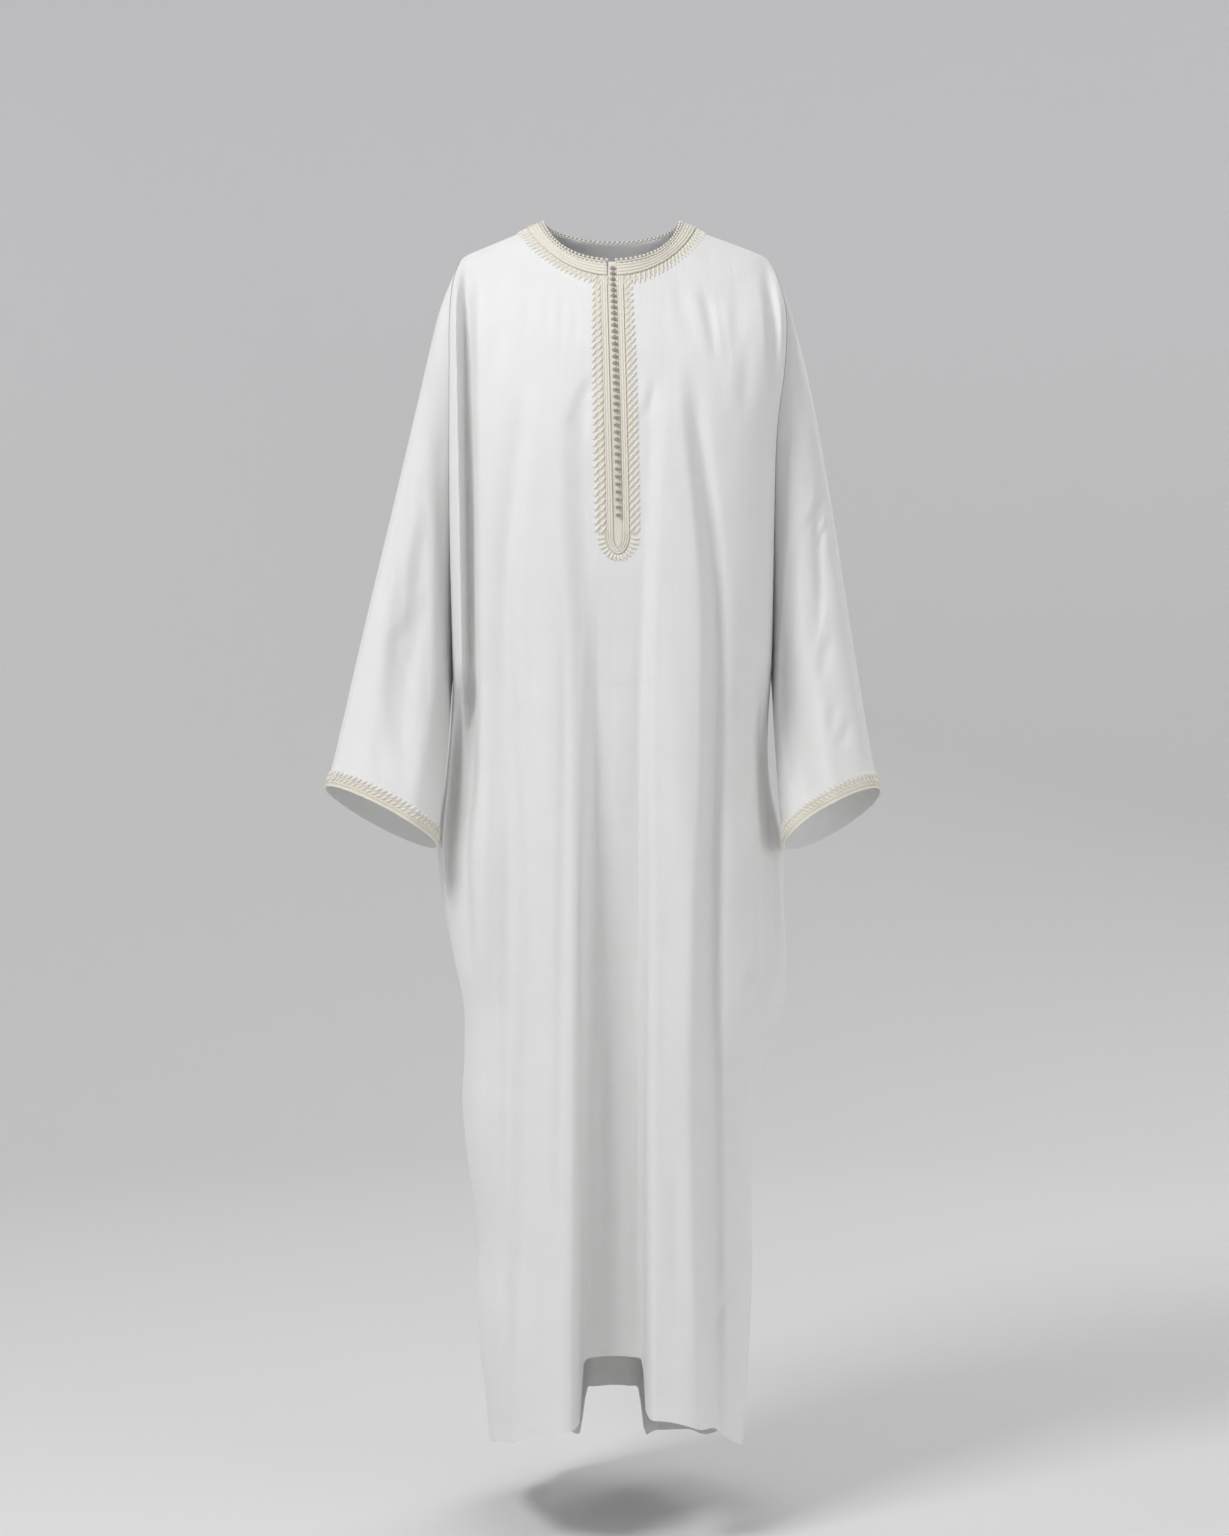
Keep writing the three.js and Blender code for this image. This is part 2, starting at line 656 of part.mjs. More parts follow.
const cotton = new THREE.MeshStandardMaterial({ color: 0xe9e9eb, roughness: 0.8, metalness: 0 });
const ivory = new THREE.MeshStandardMaterial({ color: 0xe9e4d6, roughness: 0.65, metalness: 0 });
const silver = new THREE.MeshStandardMaterial({ color: 0xa9a49a, roughness: 0.45, metalness: 0.3 });

const abaya = new THREE.Group();
abaya.name = "abaya";

const STATIONS = [
  ...YOKE_STOPS,
  ...Array.from({ length: ARMHOLE_ROWS }, (_, k) => 1 + k / ARMHOLE_ROWS),
  ...Array.from({ length: SKIRT_ROWS + 1 }, (_, k) => 2 + (k / SKIRT_ROWS) ** SKIRT_CROWDING),
];

// A panel and its skirt. Their walls keep clear of the plane between front and back along the seams.
function addPanel(names, leftColumns, rightColumns, isFront) {
  const turns = [...leftColumns.map((c) => -c).reverse(), 0, ...rightColumns].map(rad);
  const grid = makeGrid(STATIONS, turns, (a, t) => panelPoint(isFront ? a : -a, t, isFront));
  const last = turns.length - 1;
  const slit = leftColumns.length - 2;
  const isOpen = (i, j) => isFront && i === 0 && j === slit;
  const faces = gridFaces(STATIONS.length - 1, last, grid.at, false, isOpen);
  grid.normals = normalsOf(grid.points, faces);
  for (let i = 0; i < STATIONS.length; i += 1) {
    for (const j of [0, last]) grid.normals[grid.at(i, j)].setY(0).normalize();
  }
  const inner = grid.points.map((p, k) => p.clone().addScaledVector(grid.normals[k], -CLOTH));
  addParts(names, grid, inner, last, STATIONS.indexOf(2), grid.at, false, isOpen);
  return grid;
}

// A sleeve, as a grid that is closed round its turns. Its first row is the edge of the armhole.
function addSleeve(names, table, folds) {
  const around = 2 * ARMHOLE_ROWS;
  const turns = Array.from({ length: around + 1 }, (_, k) => (Math.PI * k) / ARMHOLE_ROWS);
  const grid = makeGrid(SLEEVE_STOPS, turns, (phi, w) => sleevePoint(table, folds, w, phi));
  const flip = table[0].topX > 0;
  const at = (i, j) => grid.at(i, j % around);
  const faces = gridFaces(SLEEVE_STOPS.length - 1, around, at, flip);
  grid.normals = normalsOf(grid.points, faces);
  for (let j = 0; j < around; j += 1) grid.normals[grid.at(0, j)].setX(0).normalize();
  for (let i = 0; i < SLEEVE_STOPS.length; i += 1) {
    grid.normals[grid.at(i, around)].copy(grid.normals[grid.at(i, 0)]);
  }
  const inner = grid.points.map((p, k) => p.clone().addScaledVector(grid.normals[k], -CLOTH));
  addParts(names, grid, inner, around, SLEEVE_STOPS.indexOf(ELBOW), at, flip);
  return { ...grid, flip };
}

const front = addPanel(["front_panel", "front_skirt"], LEFT_COLUMNS, RIGHT_COLUMNS, true);
const back = addPanel(["back_panel", "back_skirt"], BACK_COLUMNS, BACK_COLUMNS, false);
const leftSleeve = addSleeve(["sleeve_left", "forearm_left"], LEFT_SLEEVE, LEFT_SLEEVE_FOLDS);
const rightSleeve = addSleeve(["sleeve_right", "forearm_right"], RIGHT_SLEEVE, RIGHT_SLEEVE_FOLDS);

// A band round the neck between two stations, from column `from` of the front, over the right shoulder and
// the back, to column `to` of the front. Every second column rises by `rise` at its lower edge.
function addNeckBand(name, from, to, stops, thickness, rise) {
  const round = [];
  const end = front.turns.length - 1;
  for (let j = from; j <= end; j += 1) round.push([front, front.turns[j]]);
  for (let j = 1; j < back.turns.length - 1; j += 1) round.push([back, back.turns[j]]);
  for (let j = 0; j <= to; j += 1) round.push([front, front.turns[j]]);
  const rows = stops.map((t, i) =>
    round.map(([grid, a], k) => ({ ...onFacets(grid, a, t), rise: i > 0 && k % 2 ? rise : 0 })),
  );
  addLaid(name, rows, thickness, ivory);
}

const MIDDLE = LEFT_COLUMNS.length;
const UNDER_BRAID = BRAID_EDGE + (SEAM_GAP / 13) * (STITCH_EDGE - BRAID_EDGE);
addNeckBand("neck_braid", MIDDLE + 1, MIDDLE - 2, [0, BRAID_EDGE], BRAID, 0);
addNeckBand("neck_embroidery", MIDDLE + 3, MIDDLE - 4, [UNDER_BRAID, STITCH_EDGE], EMBROIDERY, STITCH_RISE);

// The turn of the front at which the cloth lies `x` to the right of the buttons, and a spot there.
const turnAt = (x) => Math.sign(x) * rad(angleOf(Math.abs(x)));
const onFront = (x, z) => onFacets(front, turnAt(x), stationOf(front, turnAt(x), z));

// A braid down one side of the placket, in rows that follow those of the cloth under it.
function addPlacketBraid(name, left, right) {
  const end = stationOf(front, 0, PLACKET_END_Z) - 0.02;
  const stops = [UNDER_BRAID, ...STATIONS.filter((t) => t > UNDER_BRAID && t < end)];
  const rows = stops.map((t) => [left, right].map((x) => onFacets(front, turnAt(x), t)));
  rows.push([left, right].map((x) => onFront(x, PLACKET_END_Z)));
  addLaid(name, rows, BRAID, ivory);
}

// Embroidery down one side of the placket: slanting bars, each a low row and a raised one.
function addPlacketEmbroidery(name, left, right) {
  const rows = [];
  for (let k = 0; k <= 2 * BARS; k += 1) {
    const share = k / (2 * BARS);
    const slant = BAR_SLOPE * smoothstep(share, 0, 0.12) * (1 - smoothstep(share, 0.9, 1));
    rows.push([left, right].map((x) => {
      const top = onFacets(front, turnAt(x), UNDER_BRAID).point.z;
      const z = lerp(top, PLACKET_END_Z, share) + slant * (x - (left + right) / 2);
      return { ...onFront(x, z), rise: k % 2 ? STITCH_RISE : 0 };
    }));
  }
  addLaid(name, rows, EMBROIDERY, ivory);
}

// Half a ring round the end of the placket, between two reaches below its straight sides.
function addPlacketTurn(name, inner, outer, reach, pieces, thickness, rise) {
  const ring = (sides, depth) => Array.from({ length: pieces + 1 }, (_, k) => {
    const turn = Math.PI * (k / pieces - 0.5);
    const centre = (sides[0] + sides[1]) / 2;
    const x = centre + ((sides[1] - sides[0]) / 2) * Math.sin(turn);
    return { ...onFront(x, PLACKET_END_Z - SEAM_GAP - depth * Math.cos(turn)), rise: k % 2 ? rise : 0 };
  });
  addLaid(name, [ring(inner, reach[0]), ring(outer, reach[1])], thickness, ivory);
}

const P = PLACKET;
addPlacketBraid("placket_braid_left", -P.braidLeft, -P.slit[1]);
addPlacketBraid("placket_braid_right", P.inRight, P.braidRight);
addPlacketEmbroidery("placket_embroidery_left", -P.edgeLeft + SEAM_GAP, -P.braidLeft - SEAM_GAP);
addPlacketEmbroidery("placket_embroidery_right", P.braidRight + SEAM_GAP, P.edgeRight - SEAM_GAP);
addPlacketTurn(
  "placket_braid_end",
  [-P.slit[1], P.inRight],
  [-P.braidLeft, P.braidRight],
  PLACKET_TURN.braid,
  12,
  BRAID,
  0,
);
addPlacketTurn(
  "placket_embroidery_end",
  [-P.braidLeft - SEAM_GAP, P.braidRight + SEAM_GAP],
  [-P.edgeLeft, P.edgeRight],
  PLACKET_TURN.embroidery,
  18,
  EMBROIDERY,
  STITCH_RISE,
);
addLaid(
  "placket_tab",
  [[0, 1], [0.5, 1], [1, 1], [1.4, 0.84], [1.75, 0.48]].map(([down, width]) =>
    [-P.slit[1] + SEAM_GAP, P.inRight - SEAM_GAP].map((x) =>
      onFront(lerp((P.inRight - P.slit[1]) / 2, x, width), lerp(TAB_TOP_Z, PLACKET_END_Z, down)),
    ),
  ),
  EMBROIDERY,
  ivory,
);

// Embroidery round a cuff, with a scalloped upper edge.
function addCuffBand(name, sleeve) {
  const around = 4 * ARMHOLE_ROWS;
  const rows = [[], []];
  for (let k = 0; k < around; k += 1) {
    const phi = (2 * Math.PI * k) / around;
    const length = onFacets(sleeve, phi, 0.93).point.distanceTo(onFacets(sleeve, phi, 1).point) / 0.07;
    const height = CUFF_BAND - (k % 2 ? CUFF_SCALLOP : 0);
    rows[0].push(onFacets(sleeve, phi, 1 - height / length));
    rows[1].push({ ...onFacets(sleeve, phi, 1), rise: 0.4 });
  }
  addLaid(name, rows, EMBROIDERY, ivory, { isClosed: true, flip: sleeve.flip });
}

addCuffBand("cuff_embroidery_left", leftSleeve);
addCuffBand("cuff_embroidery_right", rightSleeve);

// Round buttons in one row, a little closer together at the top.
for (let k = 0; k < BUTTONS; k += 1) {
  const spread = (BUTTON_ROW.lastStep - BUTTON_ROW.firstStep) / (2 * (BUTTONS - 1));
  const { point, normal } = onFront(0, BUTTON_ROW.top - BUTTON_ROW.firstStep * k - spread * k * k);
  const ball = new THREE.SphereGeometry(BUTTON_RADIUS, 6, 4);
  const button = new THREE.Mesh(ball, silver);
  button.name = `button_${String(k + 1).padStart(2, "0")}`;
  button.position.copy(point).addScaledVector(normal, BUTTON_RADIUS + LAID_GAP);
  abaya.add(button);
}

export default abaya;
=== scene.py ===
"""A long white abaya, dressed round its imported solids: crepe, silk braid, embroidery and knot buttons.

Sizes are in millimetres, as a pattern cutter gives them, and `MM` turns finished points into metres. X runs
to the right as the garment is faced, Y from its front to its back and Z up. The origin is the middle of the
shoulder line, where the wearer carries the cloth.
"""

import logging
from dataclasses import dataclass, field
from enum import Enum

import bpy
import numpy as np
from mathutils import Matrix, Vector


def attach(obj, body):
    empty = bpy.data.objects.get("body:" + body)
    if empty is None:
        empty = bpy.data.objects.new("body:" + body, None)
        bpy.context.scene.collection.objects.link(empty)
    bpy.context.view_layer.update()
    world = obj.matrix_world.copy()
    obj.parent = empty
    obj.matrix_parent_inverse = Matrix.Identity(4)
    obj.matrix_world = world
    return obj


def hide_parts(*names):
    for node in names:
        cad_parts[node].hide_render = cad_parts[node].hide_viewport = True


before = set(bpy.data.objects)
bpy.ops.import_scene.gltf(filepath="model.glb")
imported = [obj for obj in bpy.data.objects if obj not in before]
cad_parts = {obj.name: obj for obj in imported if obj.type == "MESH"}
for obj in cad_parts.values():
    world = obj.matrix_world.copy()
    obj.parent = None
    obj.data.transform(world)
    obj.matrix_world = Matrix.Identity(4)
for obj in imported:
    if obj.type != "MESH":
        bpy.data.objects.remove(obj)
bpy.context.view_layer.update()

log = logging.getLogger("abaya")

MM = 0.001
BODY = "root"
Array = np.ndarray
Shape = tuple[Array, list[Array], list[Array]]  # points, faces and their corners' places on the flat cloth

# Sizes that the whole garment shares.
SEAM_GAP = 0.3  # between pieces that are sewn together
CLOTH = 0.9  # thickness of the crepe as it hangs, with its inner side
NECK_SIDE_Z = 3.0  # the neckline on the shoulder
SHOULDER_Z = -42.0  # the outer end of the shoulder seam
UNDERARM_Z = -530.0  # the bottom of the deep armhole
FLOOR_Z = -1505.0
MID_SPREAD = 95.0  # width for each unit of sine near the middle, the same at every height
MID_GROWTH = 96.0  # how much that grows with the square of the sine, beside the placket
DROOP = 1.5  # over 1, so that each ring leaves the shoulder seam level
SETTLE = np.radians(9.0)  # the last stretch before a seam, where folds die away


class Facing(Enum):
    """Which way a panel faces: the value is the sign of its outward Y."""

    FRONT = -1
    BACK = 1


class Side(Enum):
    """A side of the garment as it is faced: the value is the sign of its X."""

    LEFT = -1
    RIGHT = 1


def lerp(low: Array | float, high: Array | float, share: Array | float) -> Array:
    """Straight blend from `low` at share 0 to `high` at share 1."""
    return low + (high - low) * share


def smoothstep(value: Array, low: Array | float, high: Array | float) -> Array:
    """Rises from 0 at `low` to 1 at `high` as 3q^2 - 2q^3, level at both ends."""
    q = np.clip((value - low) / (high - low), 0, 1)
    return q * q * (3 - 2 * q)


def unit(vectors: Array) -> Array:
    """The same vectors, each divided by its length."""
    return vectors / np.maximum(np.linalg.norm(vectors, axis=-1, keepdims=True), 1e-12)


@dataclass(frozen=True)
class Table:
    """A short table with named columns, read as a smooth curve through its rows.

    Attributes:
        columns: the names of the columns. The first is the one that rows are looked up by.
        rows: one tuple for each section of the garment.
    """

    columns: str
    rows: tuple[tuple[float, ...], ...]

    def column(self, name: str) -> Array:
        """The values of one column, in rising order of the first one."""
        return np.array(sorted(self.rows), float)[:, self.columns.split().index(name)]

    def top(self) -> float:
        """The highest value of the first column."""
        return float(max(row[0] for row in self.rows))

    def at(self, name: str, where: Array | float) -> Array:
        """Value of a column along the curve.

        Between two rows the curve is a cubic whose slope at each row is that of the line through its
        neighbours. Outside the table it keeps the value of the end row.

        Args:
            name: the column to read.
            where: places in the first column.

        Returns:
            The column's value at each place.
        """
        x, y = self.column(self.columns.split()[0]), self.column(name)
        before, after = np.maximum(np.arange(len(x)) - 1, 0), np.minimum(np.arange(len(x)) + 1, len(x) - 1)
        slope = (y[after] - y[before]) / (x[after] - x[before])
        p = np.clip(where, x[0], x[-1])
        i = np.clip(np.searchsorted(x, p, side="right") - 1, 0, len(x) - 2)
        width = x[i + 1] - x[i]
        t = (p - x[i]) / width
        rest = (t**3 - 2 * t**2 + t) * width * slope[i] + (t**3 - t**2) * width * slope[i + 1]
        return (2 * t**3 - 3 * t**2 + 1) * y[i] + (3 * t**2 - 2 * t**3) * y[i + 1] + rest


# Rings round the neck, from the neckline out to the end of the shoulder: half widths to the left and right,
# and heights at the shoulder, centre front and centre back.
YOKE = Table(
    "at left right side front back",
    (
        (0.0, 85, 78, NECK_SIDE_Z, -56, -10),
        (0.18, 101, 94, -3, -74, -26),
        (0.3, 113, 106, -9, -87, -38),
        (0.55, 144, 141, -22, -118, -64),
        (0.8, 170, 169, -33, -150, -92),
        (0.92, 178, 178, -38, -167, -107),
        (1.0, 181, 181, SHOULDER_Z, -178, -116),
    ),
)
# Half widths of the body at each height.
OUTLINE = Table(
    "z left right",
    (
        (SHOULDER_Z, 181, 181),
        (-72, 188, 192),
        (-110, 191, 199),
        (-170, 191, 197),
        (-243, 191, 188),
        (-347, 191, 185),
        (UNDERARM_Z, 189, 183),
        (-580, 191, 180),
        (-650, 199, 183),
        (-724, 209, 198),
        (-790, 202, 199),
        (-860, 188, 201),
        (-912, 177, 198),
        (-972, 176, 176),
        (-1024, 178, 162),
        (-1082, 173, 160),
        (-1190, 158, 161),
        (-1264, 162, 160),
        (-1373, 151, 154),
        (-1460, 141, 146),
    ),
)
# Where the side seam lies, from front to back, and how far the placket leans to the right.
SIDE_SEAM = Table(
    "z y",
    ((UNDERARM_Z, 0), (-600, 16), (-725, 28), (-900, 12), (-1100, 2), (-1460, 4)),
)
LEAN = Table("z x", ((-50, -2.4), (-352, 5), (-430, 5), (-800, 1), (-1460, 0)))


@dataclass(frozen=True)
class Fold:
    """A fold of the cloth that runs down a panel, or a hollow between two folds.

    Attributes:
        name: what a dresser would call it.
        soft_left: width of its left wall.
        soft_right: width of its right wall.
        course: at each height its left edge, right edge and how far it stands out.
    """

    name: str
    soft_left: float
    soft_right: float
    course: Table

    def share(self, x: Array, z: Array) -> Array:
        """Share of the fold's height: 1 between its edges and 0 outside, with a soft step at each wall.

        Args:
            x: places across, in millimetres.
            z: heights.

        Returns:
            The share at each place.
        """
        left, right = self.course.at("left", z), self.course.at("right", z)
        rise = smoothstep(x, left - self.soft_left / 2, left + self.soft_left / 2)
        return rise * (1 - smoothstep(x, right - self.soft_right / 2, right + self.soft_right / 2))

    def lift(self, x: Array, z: Array) -> Array:
        """How far the cloth stands out at each place."""
        return np.where(z < self.course.top(), self.course.at("out", z) * self.share(x, z), 0)


@dataclass(frozen=True)
class Crease:
    """A soft crease between two places on the cloth, as it is faced.

    Attributes:
        start: X and Z of its first end.
        end: X and Z of its other end.
        width: half its width, where it has fallen to a third.
        depth: how far it stands out, less than 0 for a trough.
        bow: how far its middle lies to one side of the straight line.
        crest: share of its depth that the cloth rises beside it, the other way.
    """

    start: tuple[float, float]
    end: tuple[float, float]
    width: float
    depth: float
    bow: float = 0.0
    crest: float = 0.4

    def lift(self, x: Array, z: Array) -> Array:
        """How far the cloth stands out at each place.

        Across the crease it is a bell exp(-q^2), less a smaller bell beside it. Along the crease it rises
        over its first third and dies away over its last.

        Args:
            x: places across, in millimetres.
            z: heights.

        Returns:
            How far it stands out, in millimetres.
        """
        dx, dz = self.end[0] - self.start[0], self.end[1] - self.start[1]
        length = np.hypot(dx, dz)
        share = ((x - self.start[0]) * dx + (z - self.start[1]) * dz) / length**2
        side = ((x - self.start[0]) * dz - (z - self.start[1]) * dx) / length
        q = (side - self.bow * 4 * share * (1 - share)) / self.width
        ends = smoothstep(share, -0.12, 0.34) * (1 - smoothstep(share, 0.62, 1.12))
        return self.depth * ends * (np.exp(-(q**2)) - self.crest * np.exp(-((q - 1.7) ** 2)))


def creases(*rows: tuple[float, ...]) -> tuple[Crease, ...]:
    """Creases from rows of X and Z of the start, X and Z of the end, width, depth, and bow if it has one."""
    return tuple(Crease((r[0], r[1]), (r[2], r[3]), r[4], r[5], *r[6:]) for r in rows)


@dataclass(frozen=True)
class Unevenness:
    """The slight waviness of hanging crepe, longer down the cloth than across it.

    Attributes:
        height: how far the waves stand out.
        seed: shifts the waves, so that two pieces differ.
    """

    height: float = 0.5
    seed: float = 0.0

    def lift(self, x: Array, z: Array) -> Array:
        """Sum of slanting sine waves whose phases bend each other, the last of them fine and upright.

        Args:
            x: places across, in millimetres.
            z: heights.

        Returns:
            How far it stands out, in millimetres.
        """
        s = self.seed
        bend = np.sin(z / 61 + 1.7 * s) + 0.6 * np.sin(z / 23 + x / 47 + s)
        broad = np.sin(x / 11.0 + 0.9 * bend + s)
        middle = np.sin(x / 6.3 - z / 88 + 1.3 * bend + 2.1 * s)
        fine = np.sin(x / 3.9 + z / 37 + 0.7 * bend - s) * np.sin(z / 29 + s)
        streaks = np.sin(x / 1.7 + 0.5 * bend + 2.9 * s) * np.sin(x / 9.1 + z / 131 + s)
        return self.height * (0.5 * broad + 0.3 * middle + 0.2 * fine + 0.22 * streaks)


class Form:
    """A surface of the garment over two parameters: `u` across it and `v` down it."""

    u_range: tuple[float, float]
    v_range: tuple[float, float]
    turn_over: bool = False

    def points(self, u: Array, v: Array) -> Array:
        """Points of the surface, in millimetres."""
        raise NotImplementedError

    def spots(self, u: Array, v: Array, step: float = 2e-3) -> tuple[Array, Array]:
        """Points of the surface and its outward normals.

        The normal is the cross product of the differences down and across over a small step.

        Args:
            u: places across.
            v: places down.
            step: half the step of the differences.

        Returns:
            The points and the unit normals.
        """
        low, high = np.clip(u - step, *self.u_range), np.clip(u + step, *self.u_range)
        across = self.points(high, v) - self.points(low, v)
        low, high = np.clip(v - step, *self.v_range), np.clip(v + step, *self.v_range)
        down = self.points(u, high) - self.points(u, low)
        normals = unit(np.cross(down, across))
        return self.points(u, v), -normals if self.turn_over else normals


@dataclass(frozen=True)
class PanelForm(Form):
    """The front or the back of the body, cut in one from neckline to hem.

    `u` is the angle from the middle, less than 0 to the left as that panel is faced. `v` is the station: 0 to
    1 down the yoke, 1 to 2 down the armhole and 2 to 3 down the skirt.

    Attributes:
        facing: front or back.
        depths: how far the panel stands out from the arm plane at each height.
        folds: its folds, with the recess in its middle first.
        marks: its creases.
        grain: its slight waviness.
        opening: how far the armhole opens in front of or behind the arm.
        lag: how much lower a ring is in the middle than at the side, at the underarm.
        hem_left: height of the hem left of the middle, where the panel has a recess there.
        hem_right: the same right of the middle.
        hem_recess: height of the hem in the recess.
        hem_side: height of the hem at the side seams.
        hem_arch: how far the recess's hem rises in its middle, and half the width of that arch.
    """

    facing: Facing
    depths: Table
    folds: tuple[Fold, ...]
    marks: tuple[Crease, ...]
    grain: Unevenness
    opening: float
    lag: float
    hem_left: float
    hem_right: float
    hem_recess: float
    hem_side: float = -1422.0
    hem_arch: tuple[float, float] = (5.0, 40.0)
    u_range: tuple[float, float] = (-np.pi / 2, np.pi / 2)
    v_range: tuple[float, float] = (0.0, 3.0)

    def ring(self, v: Array) -> dict[str, Array]:
        """The ring at each station.

        Down the yoke it comes from the table of the yoke. Down the armhole its height follows a cosine from
        the shoulder to the underarm, and the armhole opens as sqrt(4r(1-r)), less towards the underarm.

        Args:
            v: stations, 2 at most.

        Returns:
            Its half widths to the left and right of the garment, its heights at the seam and in the middle,
            and how far its seam lies from the arm plane.
        """
        yoke = np.clip(v, 0, 1)
        middle = YOKE.at(self.facing.name.lower(), yoke)
        r = (1 - np.cos(np.pi * np.clip(v - 1, 0, 1))) / 2
        side = lerp(SHOULDER_Z, UNDERARM_Z, r)
        drop = lerp(SHOULDER_Z - YOKE.at(self.facing.name.lower(), 1.0), self.lag, r)
        gape = np.sqrt(np.maximum(4 * r * (1 - r), 0)) * (1 - 0.45 * r)
        on_yoke = v <= 1
        return {
            "left": np.where(on_yoke, YOKE.at("left", yoke), OUTLINE.at("left", side)),
            "right": np.where(on_yoke, YOKE.at("right", yoke), OUTLINE.at("right", side)),
            "side": np.where(on_yoke, YOKE.at("side", yoke), side),
            "middle": np.where(on_yoke, middle, side - drop),
            "seam": np.where(on_yoke, 0, self.facing.value * self.opening * gape),
        }

    def hem(self, u: Array, x: Array) -> Array:
        """Height of the hem: an arch in the recess, and a little lower towards the side seams.

        Args:
            u: angles from the middle.
            x: places across at the underarm.

        Returns:
            The hem's height at each angle.
        """
        middle = lerp(self.hem_left, self.hem_right, smoothstep(x, -50, 50))
        fallen = lerp(middle, self.hem_side, np.abs(np.sin(u)) ** 5)
        rise, half = self.hem_arch
        recess = self.hem_recess + rise * (1 - np.minimum((x / half) ** 2, 1))
        return lerp(fallen, recess, smoothstep(self.folds[0].share(x, middle), 0.3, 0.8))

    def points(self, u: Array, v: Array) -> Array:
        """Points of the panel.

        A ring is a flattened oval. With s the sine of the angle, its width grows as s(95 + (half - 95)s^2).
        Its depth is that of the body times the root of 1 - |width share|^2.6, and its height drops from the
        seam to the middle with the cosine to the power 1.5. Folds, creases and waviness stand out from it.

        Args:
            u: angles from the middle.
            v: stations.

        Returns:
            The points, in millimetres.
        """
        u, v = np.broadcast_arrays(np.asarray(u, float), np.asarray(v, float))
        sign = self.facing.value
        s = -sign * np.sin(u)
        ring = self.ring(np.minimum(v, 2))
        z = lerp(ring["side"], ring["middle"], np.maximum(np.cos(u), 0) ** DROOP)
        down = np.maximum(v - 2, 0)
        at_underarm = s * (MID_SPREAD + (ring["left"] - MID_SPREAD) * s * s)
        z = lerp(z, self.hem(u, at_underarm), down)
        on_skirt = v > 2
        seam = np.where(on_skirt, SIDE_SEAM.at("y", z) * smoothstep(down, 0, 0.12), ring["seam"])
        body = np.where(s < 0, OUTLINE.at("left", z), OUTLINE.at("right", z))
        half = np.where(on_skirt, body, np.where(s < 0, ring["left"], ring["right"]))
        own = s * (MID_SPREAD + (half - MID_SPREAD) * s * s)
        square = lerp(2.0, 2.6, np.clip(v, 0, 1))
        bulge = np.sqrt(np.maximum(1 - np.abs(own / half) ** square, 0))
        lean = LEAN.at("x", z) * np.cos(u) ** 4 if self.facing is Facing.FRONT else 0
        x = own + lean
        lift = sum(f.lift(x, z) for f in (*self.folds, *self.marks, self.grain))
        settle = smoothstep(np.pi / 2 - np.abs(u), 0, SETTLE)
        depth = self.depths.at("out", z) - sign * seam
        y = seam + sign * (depth * bulge + lift * settle + SEAM_GAP / 2)
        return np.stack([x, y, z], axis=-1)

    def turn_at(self, x: Array) -> Array:
        """The angle at which the cloth near the middle lies `x` from the placket's middle line.

        Args:
            x: places across, in millimetres.

        Returns:
            The angle of each.
        """
        reach = np.abs(np.asarray(x, float))
        s = reach / MID_SPREAD
        for _ in range(8):
            s = reach / (MID_SPREAD + MID_GROWTH * s * s)
        return np.sign(x) * np.arcsin(s)

    def station_at(self, u: Array, z: Array) -> Array:
        """The station at which each angle passes height `z`, found by halving.

        Args:
            u: angles from the middle.
            z: heights.

        Returns:
            The station of each.
        """
        low, high = np.zeros(np.broadcast(u, z).shape), np.full(np.broadcast(u, z).shape, 2.9)
        for _ in range(26):
            middle = (low + high) / 2
            above = self.points(u, middle)[..., 2] > z
            low, high = np.where(above, middle, low), np.where(above, high, middle)
        return (low + high) / 2

    def on_placket(self, x: Array, z: Array) -> tuple[Array, Array]:
        """Points and normals that lie `x` to the right of the buttons, at height `z`.

        Args:
            x: places across, in millimetres.
            z: heights.

        Returns:
            The points and the unit normals.
        """
        x, z = np.broadcast_arrays(np.asarray(x, float), np.asarray(z, float))
        u = self.turn_at(x)
        return self.spots(u, self.station_at(u, z))


